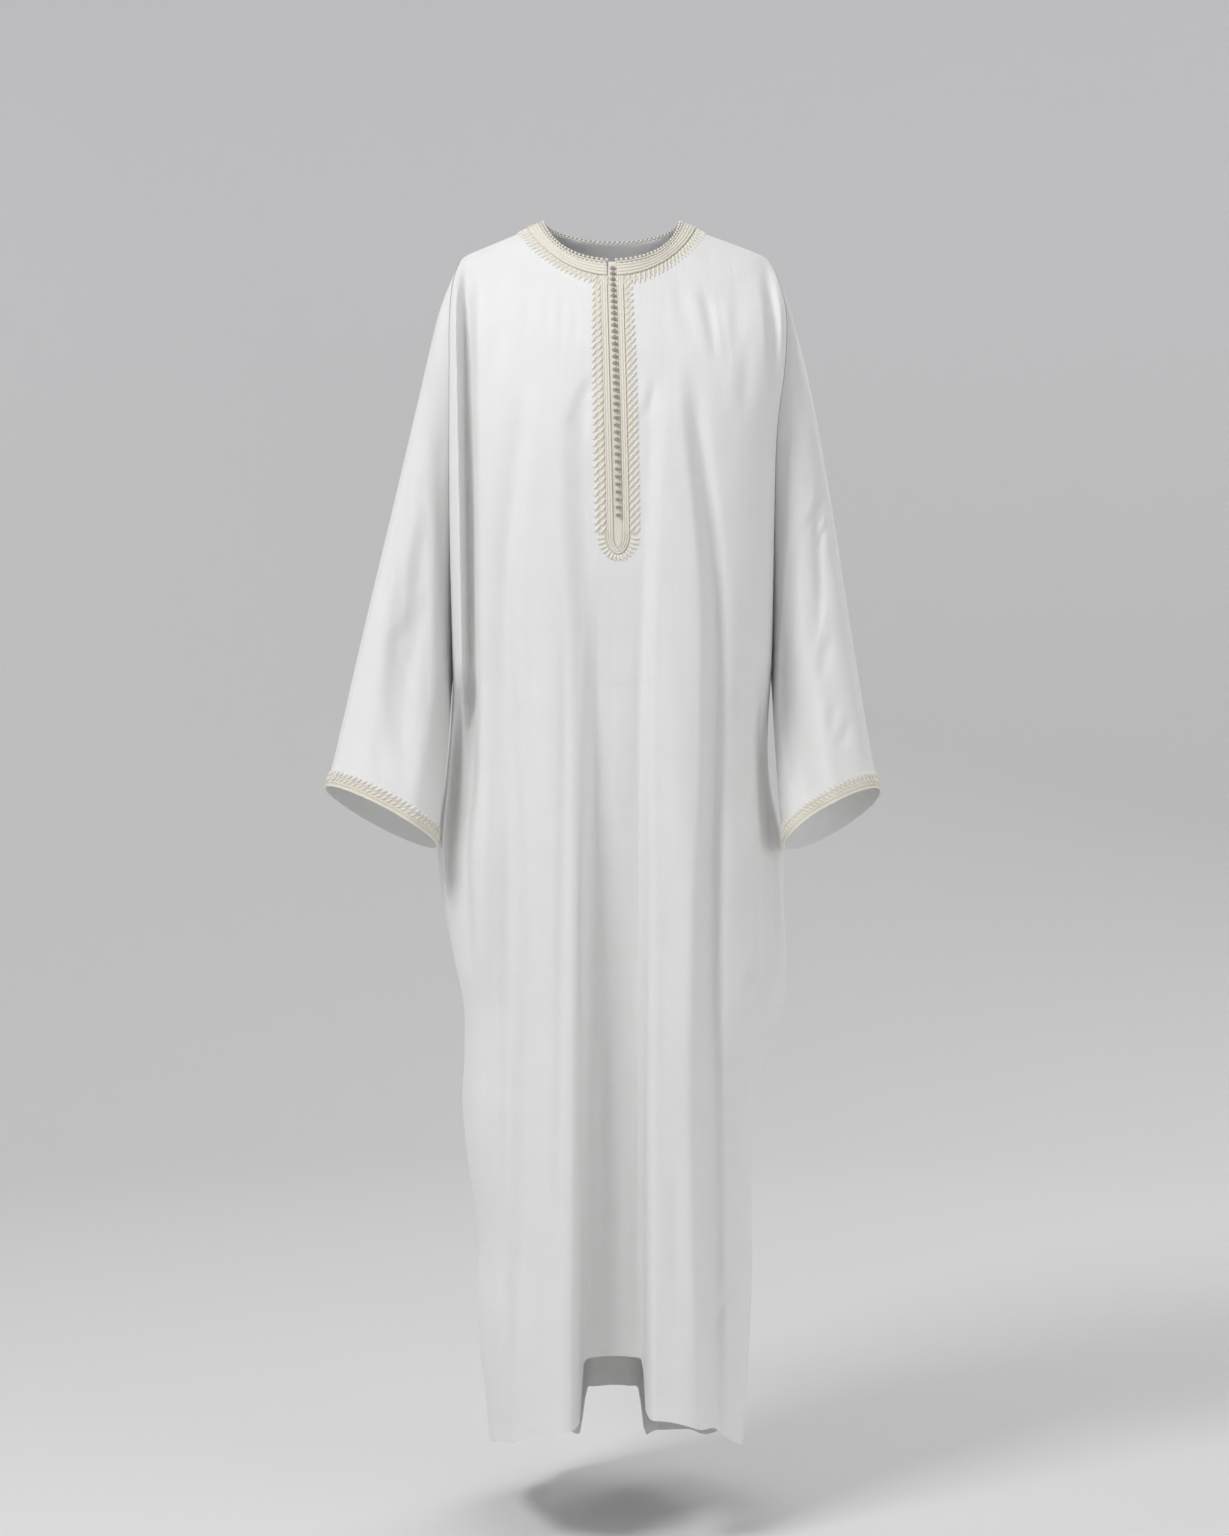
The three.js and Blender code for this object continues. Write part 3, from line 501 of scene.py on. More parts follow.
@dataclass(frozen=True)
class SleeveForm(Form):
    """A wide sleeve, as a tube from the armhole to the cuff.

    `u` turns from the top seam down the front to the underarm seam at pi, and up the back. `v` is the share
    of the way from armhole to cuff.

    Attributes:
        side: left or right as it is faced.
        course: sections from the armhole to the cuff. They hold the top seam, the underarm seam, how far the
            tube stands out to the front and back between them, and how much its front lip is tilted up.
        folds: broad folds of its front half, as from and to along it, across at each end, width and height.
        marks: creases of the front half.
        back_marks: creases of the back half.
        grain: its slight waviness.
        pressed: how far the pressed edge near the top seam stands out.
    """

    side: Side
    course: Table
    folds: tuple[tuple[float, ...], ...]
    marks: tuple[Crease, ...]
    back_marks: tuple[Crease, ...]
    grain: Unevenness
    pressed: float = 2.2
    u_range: tuple[float, float] = (-1.0, 2 * np.pi + 1.0)
    v_range: tuple[float, float] = (0.0, 1.0)

    @property
    def turn_over(self) -> bool:
        """Whether the tube's normals come out inwards, as they do on the right."""
        return self.side is Side.RIGHT

    def points(self, u: Array, v: Array) -> Array:
        """Points of the sleeve.

        A section runs from the top seam to the underarm seam with the share r = (1 - cos u) / 2, and stands
        out by the sine of the turn. Bells across r lift its broad folds.

        Args:
            u: turns round the sleeve.
            v: shares of its length.

        Returns:
            The points, in millimetres.
        """
        u, v = np.broadcast_arrays(np.asarray(u, float), np.asarray(v, float))
        get = {name: self.course.at(name, v) for name in self.course.columns.split()[1:]}
        r = (1 - np.cos(u)) / 2
        swing = np.sin(u)
        is_front = swing > 0
        out = np.where(is_front, get["front"], get["back"]) * (1 - 0.45 * (1 - smoothstep(v, 0.5, 1)) * r)
        for first, last, top, bottom, width, height in self.folds:
            share = np.clip((v - first) / (last - first), 0, 1)
            bell = np.exp(-(((r - lerp(top, bottom, share)) / width) ** 2))
            out = out + np.where(is_front, height * np.sin(np.pi * share) * bell, 0)
        start = {name: float(self.course.at(name, 0.0)) for name in ("topX", "lowX")}
        half = OUTLINE.at(self.side.name.lower(), lerp(SHOULDER_Z, UNDERARM_Z, r))
        bow = self.side.value * half - lerp(start["topX"], start["lowX"], r)
        x = lerp(get["topX"], get["lowX"], r) + bow * (1 - smoothstep(v, 0, 0.3))
        z = lerp(get["topZ"], get["lowZ"], r) + get["tilt"] * swing
        lift = np.where(
            is_front,
            sum(m.lift(x, z) for m in self.marks),
            sum(m.lift(x, z) for m in self.back_marks),
        )
        lift = (lift + self.grain.lift(x, z)) * smoothstep(np.abs(swing), 0.02, 0.4) * smoothstep(v, 0, 0.08)
        beside = (np.abs(u - np.pi) - np.pi + 0.5) / 0.055
        edge = self.pressed * np.exp(-(beside**2)) * smoothstep(v, 0.3, 0.5)
        y = lerp(get["topY"], get["lowY"], r) - out * swing - np.sign(swing) * (lift + edge * 0.8)
        x = x + self.side.value * (SEAM_GAP * 1.4 + edge * 0.6)
        return np.stack([x, y, z], axis=-1)


FRONT_FOLDS = (
    Fold("middle recess", 18, 13, Table("z left right out", (
        (-412, -24, 38, 0), (-560, -28, 34, -13), (-775, -31, 33, -33),
        (-983, -34, 32, -46), (-1225, -38, 34, -57), (-1460, -40, 36, -64),
    ))),
    Fold("left fold", 20, 30, Table("z left right out", (
        (-190, -92, -52, 0), (-260, -99, -50, 6), (-408, -113, -44, 11), (-560, -114, -40, 13),
        (-775, -102, -40, 15), (-983, -106, -42, 17), (-1225, -113, -44, 18), (-1460, -127, -45, 18),
    ))),
    Fold("left trough", 34, 18, Table("z left right out", (
        (-190, -108, -94, 0), (-300, -124, -104, -6), (-455, -136, -116, -12),
        (-775, -140, -104, -16), (-1225, -152, -115, -20), (-1460, -156, -129, -18),
    ))),
    Fold("left inner dent", 14, 14, Table("z left right out", (
        (-380, -62, -54, 0), (-600, -60, -50, -4), (-1000, -66, -54, -4), (-1300, -68, -58, 0),
    ))),
    Fold("right fold", 20, 24, Table("z left right out", (
        (-190, 52, 82, 0), (-260, 48, 88, 6), (-408, 40, 102, 11), (-560, 37, 106, 13),
        (-775, 37, 97, 16), (-983, 36, 93, 18), (-1225, 36, 99, 20), (-1460, 38, 105, 20),
    ))),
    Fold("right trough", 18, 22, Table("z left right out", (
        (-180, 80, 92, 0), (-260, 86, 102, -9), (-455, 106, 120, -14),
        (-775, 100, 116, -17), (-1225, 100, 118, -20), (-1460, 106, 122, -20),
    ))),
    Fold("left gap", 10, 12, Table("z left right out", (
        (-44, -181, -170, 0), (-100, -179, -163, -30), (-247, -175, -159, -38), (-447, -172, -157, -38),
        (-545, -172, -156, -34), (-640, -174, -160, -8), (-740, -178, -168, 0),
    ))),
    Fold("left under sleeve", 12, 11, Table("z left right out", (
        (-531, -182, -166, 0), (-538, -181, -161, -28), (-560, -184, -159, -38), (-640, -190, -158, -44),
        (-740, -196, -166, -38), (-880, -186, -160, 0),
    ))),
    Fold("right gap", 11, 10, Table("z left right out", (
        (-44, 176, 183, 0), (-80, 175, 185, -13), (-130, 176, 188, -13), (-215, 178, 186, 0),
    ))),
    Fold("right under sleeve", 12, 16, Table("z left right out", (
        (-510, 168, 174, 0), (-600, 163, 174, -26), (-740, 166, 190, -32), (-900, 168, 190, 0),
    ))),
)
BACK_FOLDS = (
    Fold("middle recess", 44, 38, Table("z left right out", (
        (-420, -24, 18, 0), (-700, -30, 24, -14), (-1100, -36, 30, -32), (-1460, -42, 36, -46),
    ))),
    Fold("left fold", 30, 30, Table("z left right out", (
        (-240, -86, -44, 0), (-600, -96, -40, 12), (-1460, -102, -44, 18),
    ))),
    Fold("right fold", 28, 30, Table("z left right out", (
        (-280, 38, 80, 0), (-650, 34, 90, 12), (-1460, 40, 100, 18),
    ))),
    Fold("left trough", 26, 20, Table("z left right out", (
        (-300, -116, -100, 0), (-700, -122, -100, -12), (-1460, -126, -106, -20),
    ))),
    Fold("right trough", 20, 26, Table("z left right out", (
        (-260, 92, 108, 0), (-700, 94, 112, -12), (-1460, 102, 120, -20),
    ))),
    Fold("left gap", 14, 14, Table("z left right out", (
        (-60, -176, -166, 0), (-140, -174, -158, -24), (-440, -170, -154, -24), (-600, -168, -154, 0),
    ))),
    Fold("right gap", 14, 14, Table("z left right out", (
        (-60, 166, 176, 0), (-140, 158, 174, -24), (-440, 154, 170, -24), (-600, 154, 168, 0),
    ))),
)
# Creases as X and Z of the start, X and Z of the end, width, depth and bow.
FRONT_CREASES = creases(
    (-131, -128, -136, -190, 8, -2.6),  # from the shoulder down to the bust
    (-98, -92, -101, -150, 6, -1.4),
    (-77, -92, -75, -142, 5, -1.2),
    (-60, -98, -57, -152, 5, -1.2),
    (-43, -104, -45, -168, 5, -1.0),
    (-24, -196, -45, -262, 7, -3.0, 3),  # beside the placket
    (-27, -222, -36, -272, 5, -2.0, 2),
    (44, -202, 34, -244, 5, -2.2, -2),
    (74, -82, 81, -140, 7, -1.5),
    (101, -86, 116, -172, 7, -4.6, -2),  # the pointed ones on the right breast
    (120, -100, 128, -176, 4, -3.2),
    (146, -90, 136, -172, 8, -3.8, 2),
    (152, -140, 146, -240, 9, -3.0),
    (-103, -600, -113, -1480, 4, 2.6),  # the crests of the two folds
    (96, -560, 105, -1480, 3.4, 2.2),
    (88, -330, 98, -1900, 24, 5.0),
    (37, -640, 38, -1460, 2.4, 1.3),
    (-44, -700, -47, -1460, 4, 1.0),
    (-117, -600, -128, -1480, 7, -4.4),
    (111, -600, 120, -1480, 7, -3.4),
    (134, -400, 134, -900, 11, 3.0),  # long ridges on the outer planes
    (-148, -560, -147, -900, 11, 3.0),
    (-152, -250, -150, -470, 10, -2.0, 3),
    (176, -838, 147, -902, 4.5, -3.4, 4),  # short pulls over the side seams
    (131, -1210, 106, -1284, 5, -3.0, -3),
    (-128, -1120, -150, -1190, 7, -2.0, 3),
    (-70, -1180, -84, -1330, 9, -2.0),
    (68, -1060, 74, -1250, 9, -2.2, 2),
    (-10, -900, -14, -1200, 10, -2.4),
    (14, -1050, 11, -1290, 8, 1.8),
    (62, -470, 70, -760, 12, 1.8),
    (-80, -420, -78, -700, 11, 2.0),
)
BACK_CREASES = creases(
    (-120, -90, -128, -190, 8, -2.4),
    (-70, -70, -66, -150, 7, -1.6),
    (52, -66, 48, -140, 7, -1.4),
    (104, -84, 116, -170, 8, -2.6, 3),
    (-30, -190, -22, -330, 10, -2.0),
    (20, -230, 30, -390, 10, -1.8),
    (140, -300, 132, -520, 10, -2.4, -4),
    (-142, -330, -134, -560, 10, -2.2, 4),
    (148, -620, 140, -980, 12, 2.8),
    (-146, -640, -142, -1010, 12, 2.8),
    (-150, -830, -124, -900, 5, -3.0, 3),
    (140, -1190, 118, -1270, 6, -2.8, -3),
    (-74, -800, -70, -1150, 11, -2.0),
    (66, -760, 72, -1080, 11, -2.2),
    (-8, -980, -12, -1300, 10, -2.4),
)
SLEEVE_COLUMNS = "at topX topY topZ lowX lowY lowZ front back tilt"
LEFT_SLEEVE = Table(
    SLEEVE_COLUMNS,
    (
        (0.0, -181, 0, SHOULDER_Z, -189, 0, UNDERARM_Z, 58, 54, 0),
        (0.12, -204, 0, -100, -190.5, -8, -553, 62, 58, 0),
        (0.3, -228, -2, -200, -192, -18, -586, 66, 58, 0),
        (0.5, -257, -8, -325, -195, -28, -624, 62, 54, 0),
        (0.75, -293, -22, -482, -199, -40, -674, 56, 50, 6),
        (0.95, -325, -38, -628, -203, -48, -714, 50, 50, 14),
        (1.0, -334, -40, -659, -204, -50, -724, 50, 50, 16),
    ),
)
RIGHT_SLEEVE = Table(
    SLEEVE_COLUMNS,
    (
        (0.0, 181, 0, SHOULDER_Z, 183, 0, UNDERARM_Z, 58, 54, 0),
        (0.12, 203, 0, -95, 184, -8, -553, 62, 58, 0),
        (0.3, 227, -2, -184, 185, -18, -586, 66, 58, 0),
        (0.5, 251, -8, -316, 187, -28, -624, 62, 54, 0),
        (0.75, 274, -22, -472, 190, -40, -674, 58, 50, 8),
        (0.95, 298, -40, -628, 194, -50, -714, 54, 52, 18),
        (1.0, 307, -44, -664, 195, -52, -723, 54, 52, 21),
    ),
)
LEFT_SLEEVE_CREASES = creases(
    (-227, -300, -216, -364, 6, -2.6, -2),  # the elbow
    (-216, -350, -224, -446, 8, -3.6, 3),
    (-223, -436, -250, -498, 8, -2.8, -3),
    (-211, -428, -230, -508, 6, -2.6, 2),
    (-256, -486, -226, -550, 7, -2.8, 3),
    (-207, -370, -209, -560, 6, 2.6),
    (-244, -560, -236, -650, 9, -2.0),
    (-272, -590, -262, -668, 8, -1.8),
    (-205, -110, -210, -250, 8, -1.8, 3),
)
RIGHT_SLEEVE_CREASES = creases(
    (210, -366, 201, -480, 7, -3.4, 2),
    (202, -470, 197, -604, 7, -3.4),
    (217, -428, 216, -570, 7, 2.6),
    (243, -314, 220, -360, 5, -2.8, -2),  # the elbow
    (242, -332, 227, -370, 4, -2.0, -1),
    (246, -352, 236, -384, 4.5, -2.2, 2),
    (237, -394, 240, -458, 8, -2.4, -3),
    (248, -482, 238, -534, 7, -2.8, 2),
    (269, -578, 257, -614, 7, -2.4),
    (252, -560, 250, -600, 6, -1.8, 2),
    (208, -130, 212, -240, 8, -1.8, -3),
)
BACK_SLEEVE_CREASES = {
    Side.LEFT: creases(
        (-214, -290, -236, -350, 7, -2.6, 2),
        (-226, -350, -222, -450, 8, -3.0, 3),
        (-262, -470, -240, -560, 8, -2.6, -3),
        (-212, -180, -206, -320, 9, -2.0),
        (-262, -580, -254, -670, 8, -2.0),
    ),
    Side.RIGHT: creases(
        (212, -280, 236, -346, 7, -2.6, -2),
        (226, -360, 214, -460, 8, -3.0, -3),
        (252, -480, 236, -570, 8, -2.6, 3),
        (206, -170, 204, -310, 9, -2.0),
        (248, -590, 240, -660, 8, -2.0),
    ),
}

FRONT = PanelForm(
    facing=Facing.FRONT,
    depths=Table("z out", (
        (4, 66), (-30, 73), (-56, 80), (-87, 95), (-125, 113), (-178, 130),
        (-235, 140), (-330, 144), (-520, 142), (-800, 150), (-1100, 164), (-1460, 182),
    )),
    folds=FRONT_FOLDS,
    marks=FRONT_CREASES,
    grain=Unevenness(0.45, 0.0),
    opening=58,
    lag=12,
    hem_left=-1368,
    hem_right=-1355,
    hem_recess=-1305,
)
BACK = PanelForm(
    facing=Facing.BACK,
    depths=Table("z out", (
        (-10, 64), (-60, 86), (-150, 106), (-300, 103), (-520, 108), (-800, 126), (-1100, 144), (-1460, 162),
    )),
    folds=BACK_FOLDS,
    marks=BACK_CREASES,
    grain=Unevenness(0.45, 2.3),
    opening=54,
    lag=8,
    hem_left=-1452,
    hem_right=-1452,
    hem_recess=-1388,
)
SLEEVES = {
    Side.LEFT: SleeveForm(
        side=Side.LEFT,
        course=LEFT_SLEEVE,
        folds=(
            (0.34, 0.92, 0.42, 0.52, 0.15, -17),
            (0.2, 1.3, 0.82, 0.78, 0.1, 8),
            (0.5, 0.8, 0.25, 0.4, 0.09, -6),
        ),
        marks=LEFT_SLEEVE_CREASES,
        back_marks=BACK_SLEEVE_CREASES[Side.LEFT],
        grain=Unevenness(0.4, 1.1),
    ),
    Side.RIGHT: SleeveForm(
        side=Side.RIGHT,
        course=RIGHT_SLEEVE,
        folds=(
            (0.2, 1.15, 0.8, 0.76, 0.13, -24),
            (0.3, 1.3, 0.5, 0.52, 0.12, 6),
            (0.4, 0.62, 0.2, 0.32, 0.08, -6),
        ),
        marks=RIGHT_SLEEVE_CREASES,
        back_marks=BACK_SLEEVE_CREASES[Side.RIGHT],
        grain=Unevenness(0.4, 3.7),
    ),
}


# Finishes. These values are what silk and cotton threads share.
FIBRE_IOR = 1.46
FIBRE_SPECULAR = 0.35  # less than a smooth surface, because loose fibres break up the reflection
FUZZ_ROUGHNESS = 0.45
YARN_SPREAD = 1.5  # how far light spreads inside the yarn
YARN_TINT = (1.0, 0.97, 0.92)  # red light spreads a little further than blue


Socket = bpy.types.NodeSocket


def linear(hex_colour: str) -> tuple[float, float, float, float]:
    """An sRGB hex colour as the linear values that shaders take.

    Args:
        hex_colour: the colour, as #RRGGBB.

    Returns:
        Red, green, blue and alpha.
    """
    srgb = np.array([int(hex_colour[k : k + 2], 16) for k in (1, 3, 5)]) / 255
    rgb = np.where(srgb <= 0.04045, srgb / 12.92, ((srgb + 0.055) / 1.055) ** 2.4)
    return (*(float(c) for c in rgb), 1.0)


def add_node(
    tree: bpy.types.NodeTree,
    kind: str,
    inputs: dict[str | int, object] | None = None,
    **settings: object,
) -> bpy.types.Node:
    """Adds a node to a material.

    Args:
        tree: the material's node tree.
        kind: the type of node.
        inputs: a value or a socket to link, for each input by its name or number.
        **settings: properties of the node.

    Returns:
        The node.
    """
    node = tree.nodes.new(kind)
    for name, value in settings.items():
        setattr(node, name, value)
    for name, value in (inputs or {}).items():
        if isinstance(value, Socket):
            tree.links.new(value, node.inputs[name])
        else:
            node.inputs[name].default_value = value
    return node


@dataclass(frozen=True)
class Finish:
    """A finish of the garment: its colours, and what its surface does with light.

    Attributes:
        name: what a tailor calls it.
        slot: the name of its material slot. It is not used.
        colour: its own colour.
        painted_shade_and_cloud_tone: the darker colour that its pattern mixes in. On threaded finishes it is
            painted shade in the hollows between threads; on the crepe it is a darker tone in random clouds.
        roughness: of the surface as a whole.
        sheen: how much its loose fibres glow at a glancing angle.
        glow: share of the light that spreads inside its yarn and comes out elsewhere.
        depth: height of its pattern, in millimetres.
    """

    name: str
    slot: str
    colour: str
    painted_shade_and_cloud_tone: str
    roughness: float
    sheen: float
    glow: float
    depth: float

    def relief(self, tree: bpy.types.NodeTree, place: Socket) -> tuple[Socket, Socket]:
        """The height pattern and the pattern that mixes the two colours, at places on the flat cloth."""
        raise NotImplementedError

    def build(self) -> bpy.types.Material:
        """Makes the material.

        Returns:
            The material.
        """
        material = bpy.data.materials.new(self.name)
        material.use_nodes = True
        tree = material.node_tree
        tree.nodes.clear()
        height, mix = self.relief(tree, add_node(tree, "ShaderNodeTexCoord").outputs["UV"])
        # The mix runs from the darker colour at 0 to its own colour at 1. On threaded finishes it follows
        # their relief, which paints shade into the hollows between threads; on the crepe it follows random
        # clouds of tone.
        colour = add_node(
            tree,
            "ShaderNodeMix",
            {0: mix, 6: linear(self.painted_shade_and_cloud_tone), 7: linear(self.colour)},
            data_type="RGBA",
        )
        relief = {"Height": height, "Strength": 1.0, "Distance": self.depth * MM}
        bump = add_node(tree, "ShaderNodeBump", relief)
        shader = add_node(
            tree,
            "ShaderNodeBsdfPrincipled",
            {
                "Base Color": colour.outputs[2],
                "Roughness": self.roughness,
                "IOR": FIBRE_IOR,
                "Specular IOR Level": FIBRE_SPECULAR,
                "Sheen Weight": self.sheen,
                "Sheen Roughness": FUZZ_ROUGHNESS,
                "Subsurface Weight": self.glow,
                "Subsurface Radius": YARN_TINT,
                "Subsurface Scale": YARN_SPREAD * MM,
                "Normal": bump.outputs[0],
            },
        )
        add_node(tree, "ShaderNodeOutputMaterial", {0: shader.outputs[0]})
        return material


def threads(
    tree: bpy.types.NodeTree,
    place: Socket,
    pitch: float,
    direction: str,
    distortion: float = 0.0,
) -> Socket:
    """Parallel threads, as a sine wave across them.

    Args:
        tree: the material's node tree.
        place: coordinates in metres.
        pitch: from thread to thread, in millimetres.
        direction: the axis that the wave runs along.
        distortion: how unevenly they lie.

    Returns:
        A socket from 0 between threads to 1 on top of them.
    """
    # A wave texture of scale k repeats every 2 pi / (20 k) of its coordinate.
    scale = 2 * np.pi / (20 * pitch * MM)
    wave = add_node(
        tree,
        "ShaderNodeTexWave",
        {"Vector": place, "Scale": scale, "Distortion": distortion, "Detail": 1.0},
        wave_type="BANDS",
        bands_direction=direction,
        wave_profile="SIN",
    )
    return wave.outputs["Fac"]


@dataclass(frozen=True)
class Crepe(Finish):
    """Plain white crepe of twisted cotton and silk yarn: matt, opaque and slightly pebbled."""

    name: str = "woven_cotton_silk_crepe"
    slot: str = "cloth"
    colour: str = "#F3F3F3"
    # On the crepe this darker colour is no shade: random clouds of tone mix it in.
    painted_shade_and_cloud_tone: str = "#EEEDEB"
    roughness: float = 0.68
    sheen: float = 0.1
    glow: float = 0.35
    depth: float = 0.16
    pitch: float = 1.1  # drawn coarser than its real 0.3 mm, so that it shows
    pebble: float = 3.2
    slubs: tuple[float, float, float] = (220.0, 12.0, 1.0)  # thicker threads to the metre, across and down
    clouds: float = 26.0  # faint clouds of tone to the metre

    def relief(self, tree: bpy.types.NodeTree, place: Socket) -> tuple[Socket, Socket]:
        """A plain weave, product of two thread waves, over the pebbling of its twisted yarn.

        Args:
            tree: the material's node tree.
            place: places on the flat cloth.

        Returns:
            The height, and the mix of the two colours.
        """
        warp = threads(tree, place, self.pitch, "X", 0.6)
        weft = threads(tree, place, self.pitch, "Y", 0.6)
        weave = add_node(tree, "ShaderNodeMath", {0: warp, 1: weft}, operation="MULTIPLY").outputs[0]
        pebbles = add_node(
            tree,
            "ShaderNodeTexNoise",
            {"Vector": place, "Scale": 1 / (self.pebble * MM), "Detail": 3.0, "Roughness": 0.6},
        ).outputs["Fac"]
        stretched = add_node(tree, "ShaderNodeMapping", {"Vector": place, "Scale": self.slubs}).outputs[0]
        noise = {"Vector": stretched, "Scale": 1.0, "Detail": 2.0}
        slubs = add_node(tree, "ShaderNodeTexNoise", noise).outputs["Fac"]
        rough = add_node(
            tree, "ShaderNodeMath", {0: pebbles, 1: 1.4, 2: weave}, operation="MULTIPLY_ADD"
        ).outputs[0]
        height = add_node(tree, "ShaderNodeMath", {0: slubs, 1: 1.2, 2: rough}, operation="MULTIPLY_ADD")
        cloudy = add_node(
            tree, "ShaderNodeTexNoise", {"Vector": place, "Scale": self.clouds, "Detail": 4.0}
        ).outputs["Fac"]
        return height.outputs[0], cloudy


@dataclass(frozen=True)
class SilkBraid(Finish):
    """Ivory silk braid: fine twisted cords sewn side by side, with a soft gloss."""

    name: str = "twisted_silk_braid"
    slot: str = "braid"
    colour: str = "#F8F5EB"
    # Painted shade: the colour that the grooves between the plaited threads are darkened to.
    painted_shade_and_cloud_tone: str = "#E3DBC9"
    roughness: float = 0.5
    sheen: float = 0.2
    glow: float = 0.15
    depth: float = 0.28
    pitch: float = 1.3

    def relief(self, tree: bpy.types.NodeTree, place: Socket) -> tuple[Socket, Socket]:
        """Two sets of threads that cross at a slant, as in a flat plait.

        Args:
            tree: the material's node tree.
            place: places on the flat cloth.

        Returns:
            The height, and the mix of the two colours.
        """
        one = threads(tree, place, self.pitch, "DIAGONAL", 0.4)
        turned = add_node(tree, "ShaderNodeMapping", {"Vector": place, "Scale": (1, -1, 1)}).outputs[0]
        other = threads(tree, turned, self.pitch, "DIAGONAL", 0.4)
        plait = add_node(tree, "ShaderNodeMath", {0: one, 1: other}, operation="MAXIMUM").outputs[0]
        # The same relief mixes the colours, which paints shade into the grooves between threads.
        return plait, plait


@dataclass(frozen=True)
class SatinStitch(Finish):
    """Cream embroidery in satin stitch: glossy threads side by side, a little yellower than the cloth."""

    name: str = "satin_stitch_silk"
    slot: str = "embroidery"
    colour: str = "#FBF9F1"
    # Painted shade: the colour that the hollows between the laid threads are darkened to.
    painted_shade_and_cloud_tone: str = "#EFEADC"
    roughness: float = 0.45
    sheen: float = 0.2
    glow: float = 0.15
    depth: float = 0.12
    pitch: float = 0.8

    def relief(self, tree: bpy.types.NodeTree, place: Socket) -> tuple[Socket, Socket]:
        """Threads laid across each stitch.

        Args:
            tree: the material's node tree.
            place: places on the flat cloth.

        Returns:
            The height, and the mix of the two colours.
        """
        strands = threads(tree, place, self.pitch, "X", 0.5)
        # The same relief mixes the colours, which paints shade into the hollows between threads.
        return strands, strands


@dataclass(frozen=True)
class StitchedGround(Finish):
    """The cream ground under the stitches, closely worked over with small stitches."""

    name: str = "embroidered_silk_ground"
    slot: str = "embroidery"
    colour: str = "#F4F0E6"
    # Painted shade: the colour that the hollows between the small stitches are darkened to.
    painted_shade_and_cloud_tone: str = "#E6E0D1"
    roughness: float = 0.6
    sheen: float = 0.15
    glow: float = 0.15
    depth: float = 0.2
    pitch: float = 1.5

    def relief(self, tree: bpy.types.NodeTree, place: Socket) -> tuple[Socket, Socket]:
        """Rows of small stitches, product of two thread waves.

        Args:
            tree: the material's node tree.
            place: places on the flat cloth.

        Returns:
            The height, and the mix of the two colours.
        """
        rows = threads(tree, place, self.pitch, "Y", 1.2)
        stitches = threads(tree, place, self.pitch * 0.8, "X", 1.2)
        worked = add_node(tree, "ShaderNodeMath", {0: rows, 1: stitches}, operation="MULTIPLY").outputs[0]
        # The same relief mixes the colours, which paints shade into the hollows between stitches.
        return worked, worked


@dataclass(frozen=True)
class SilverThread(Finish):
    """Silver-grey metallic thread wound round a silk core, as in knot buttons and their loops."""

    name: str = "silver_grey_metallic_thread"
    slot: str = "button"
    colour: str = "#D0CCC3"
    # Painted shade: the colour that the hollows between the wound threads are darkened to.
    painted_shade_and_cloud_tone: str = "#9A9488"
    roughness: float = 0.42
    sheen: float = 0.1
    glow: float = 0.0
    depth: float = 0.25
    pitch: float = 0.9

    def relief(self, tree: bpy.types.NodeTree, place: Socket) -> tuple[Socket, Socket]:
        """Threads wound at a slant.

        Args:
            tree: the material's node tree.
            place: places on the flat cloth.

        Returns:
            The height, and the mix of the two colours.
        """
        wound = threads(tree, place, self.pitch, "DIAGONAL", 0.3)
        # The same relief mixes the colours, which paints shade into the hollows between the windings.
        return wound, wound


class Workroom:
    """Makes the pieces and puts them into the scene, each with its finish and its CAD nodes."""

    def __init__(self) -> None:
        """Starts with no finishes made."""
        self.materials: dict[str, bpy.types.Material] = {}

    def material(self, finish: Finish) -> bpy.types.Material:
        """The material of a finish, made the first time that it is asked for.

        Args:
            finish: the finish.

        Returns:
            Its material.
        """
        if finish.name not in self.materials:
            self.materials[finish.name] = finish.build()
        return self.materials[finish.name]

    def piece(
        self,
        name: str,
        points: Array,
        faces: list[Array],
        uv: list[Array],
        finish: Finish,
        replaces: tuple[str, ...] = (),
        sharp: float = 50.0,
    ) -> bpy.types.Object:
        """Makes one piece and lets it ride on the garment.

        Args:
            name: the piece's name.
            points: its vertices in millimetres, N by 3.
            faces: arrays of vertex numbers, each with faces of one number of corners.
            uv: for each of those arrays its corners' places on the flat cloth, in metres.
            finish: what it is made of.
            replaces: the CAD nodes that it stands for.
            sharp: the angle in degrees past which an edge is sharp.

        Returns:
            The piece.
        """
        mesh = bpy.data.meshes.new(name)
        mesh.from_pydata(points * MM, [], [f for group in faces for f in group.tolist()])
        layer = mesh.uv_layers.new(name="flat")
        corners = np.concatenate([np.asarray(block, np.float32).reshape(-1, 2) for block in uv])
        layer.data.foreach_set("uv", corners.ravel())
        mesh.polygons.foreach_set("use_smooth", np.ones(len(mesh.polygons), bool))
        mesh.set_sharp_from_angle(angle=float(np.radians(sharp)))
        mesh.materials.append(self.material(finish))
        piece = bpy.data.objects.new(name, mesh)
        bpy.context.scene.collection.objects.link(piece)
        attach(piece, BODY)
        if replaces:
            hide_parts(*replaces)
        log.info("%s: %d points, %d faces", name, len(mesh.vertices), len(mesh.polygons))
        return piece


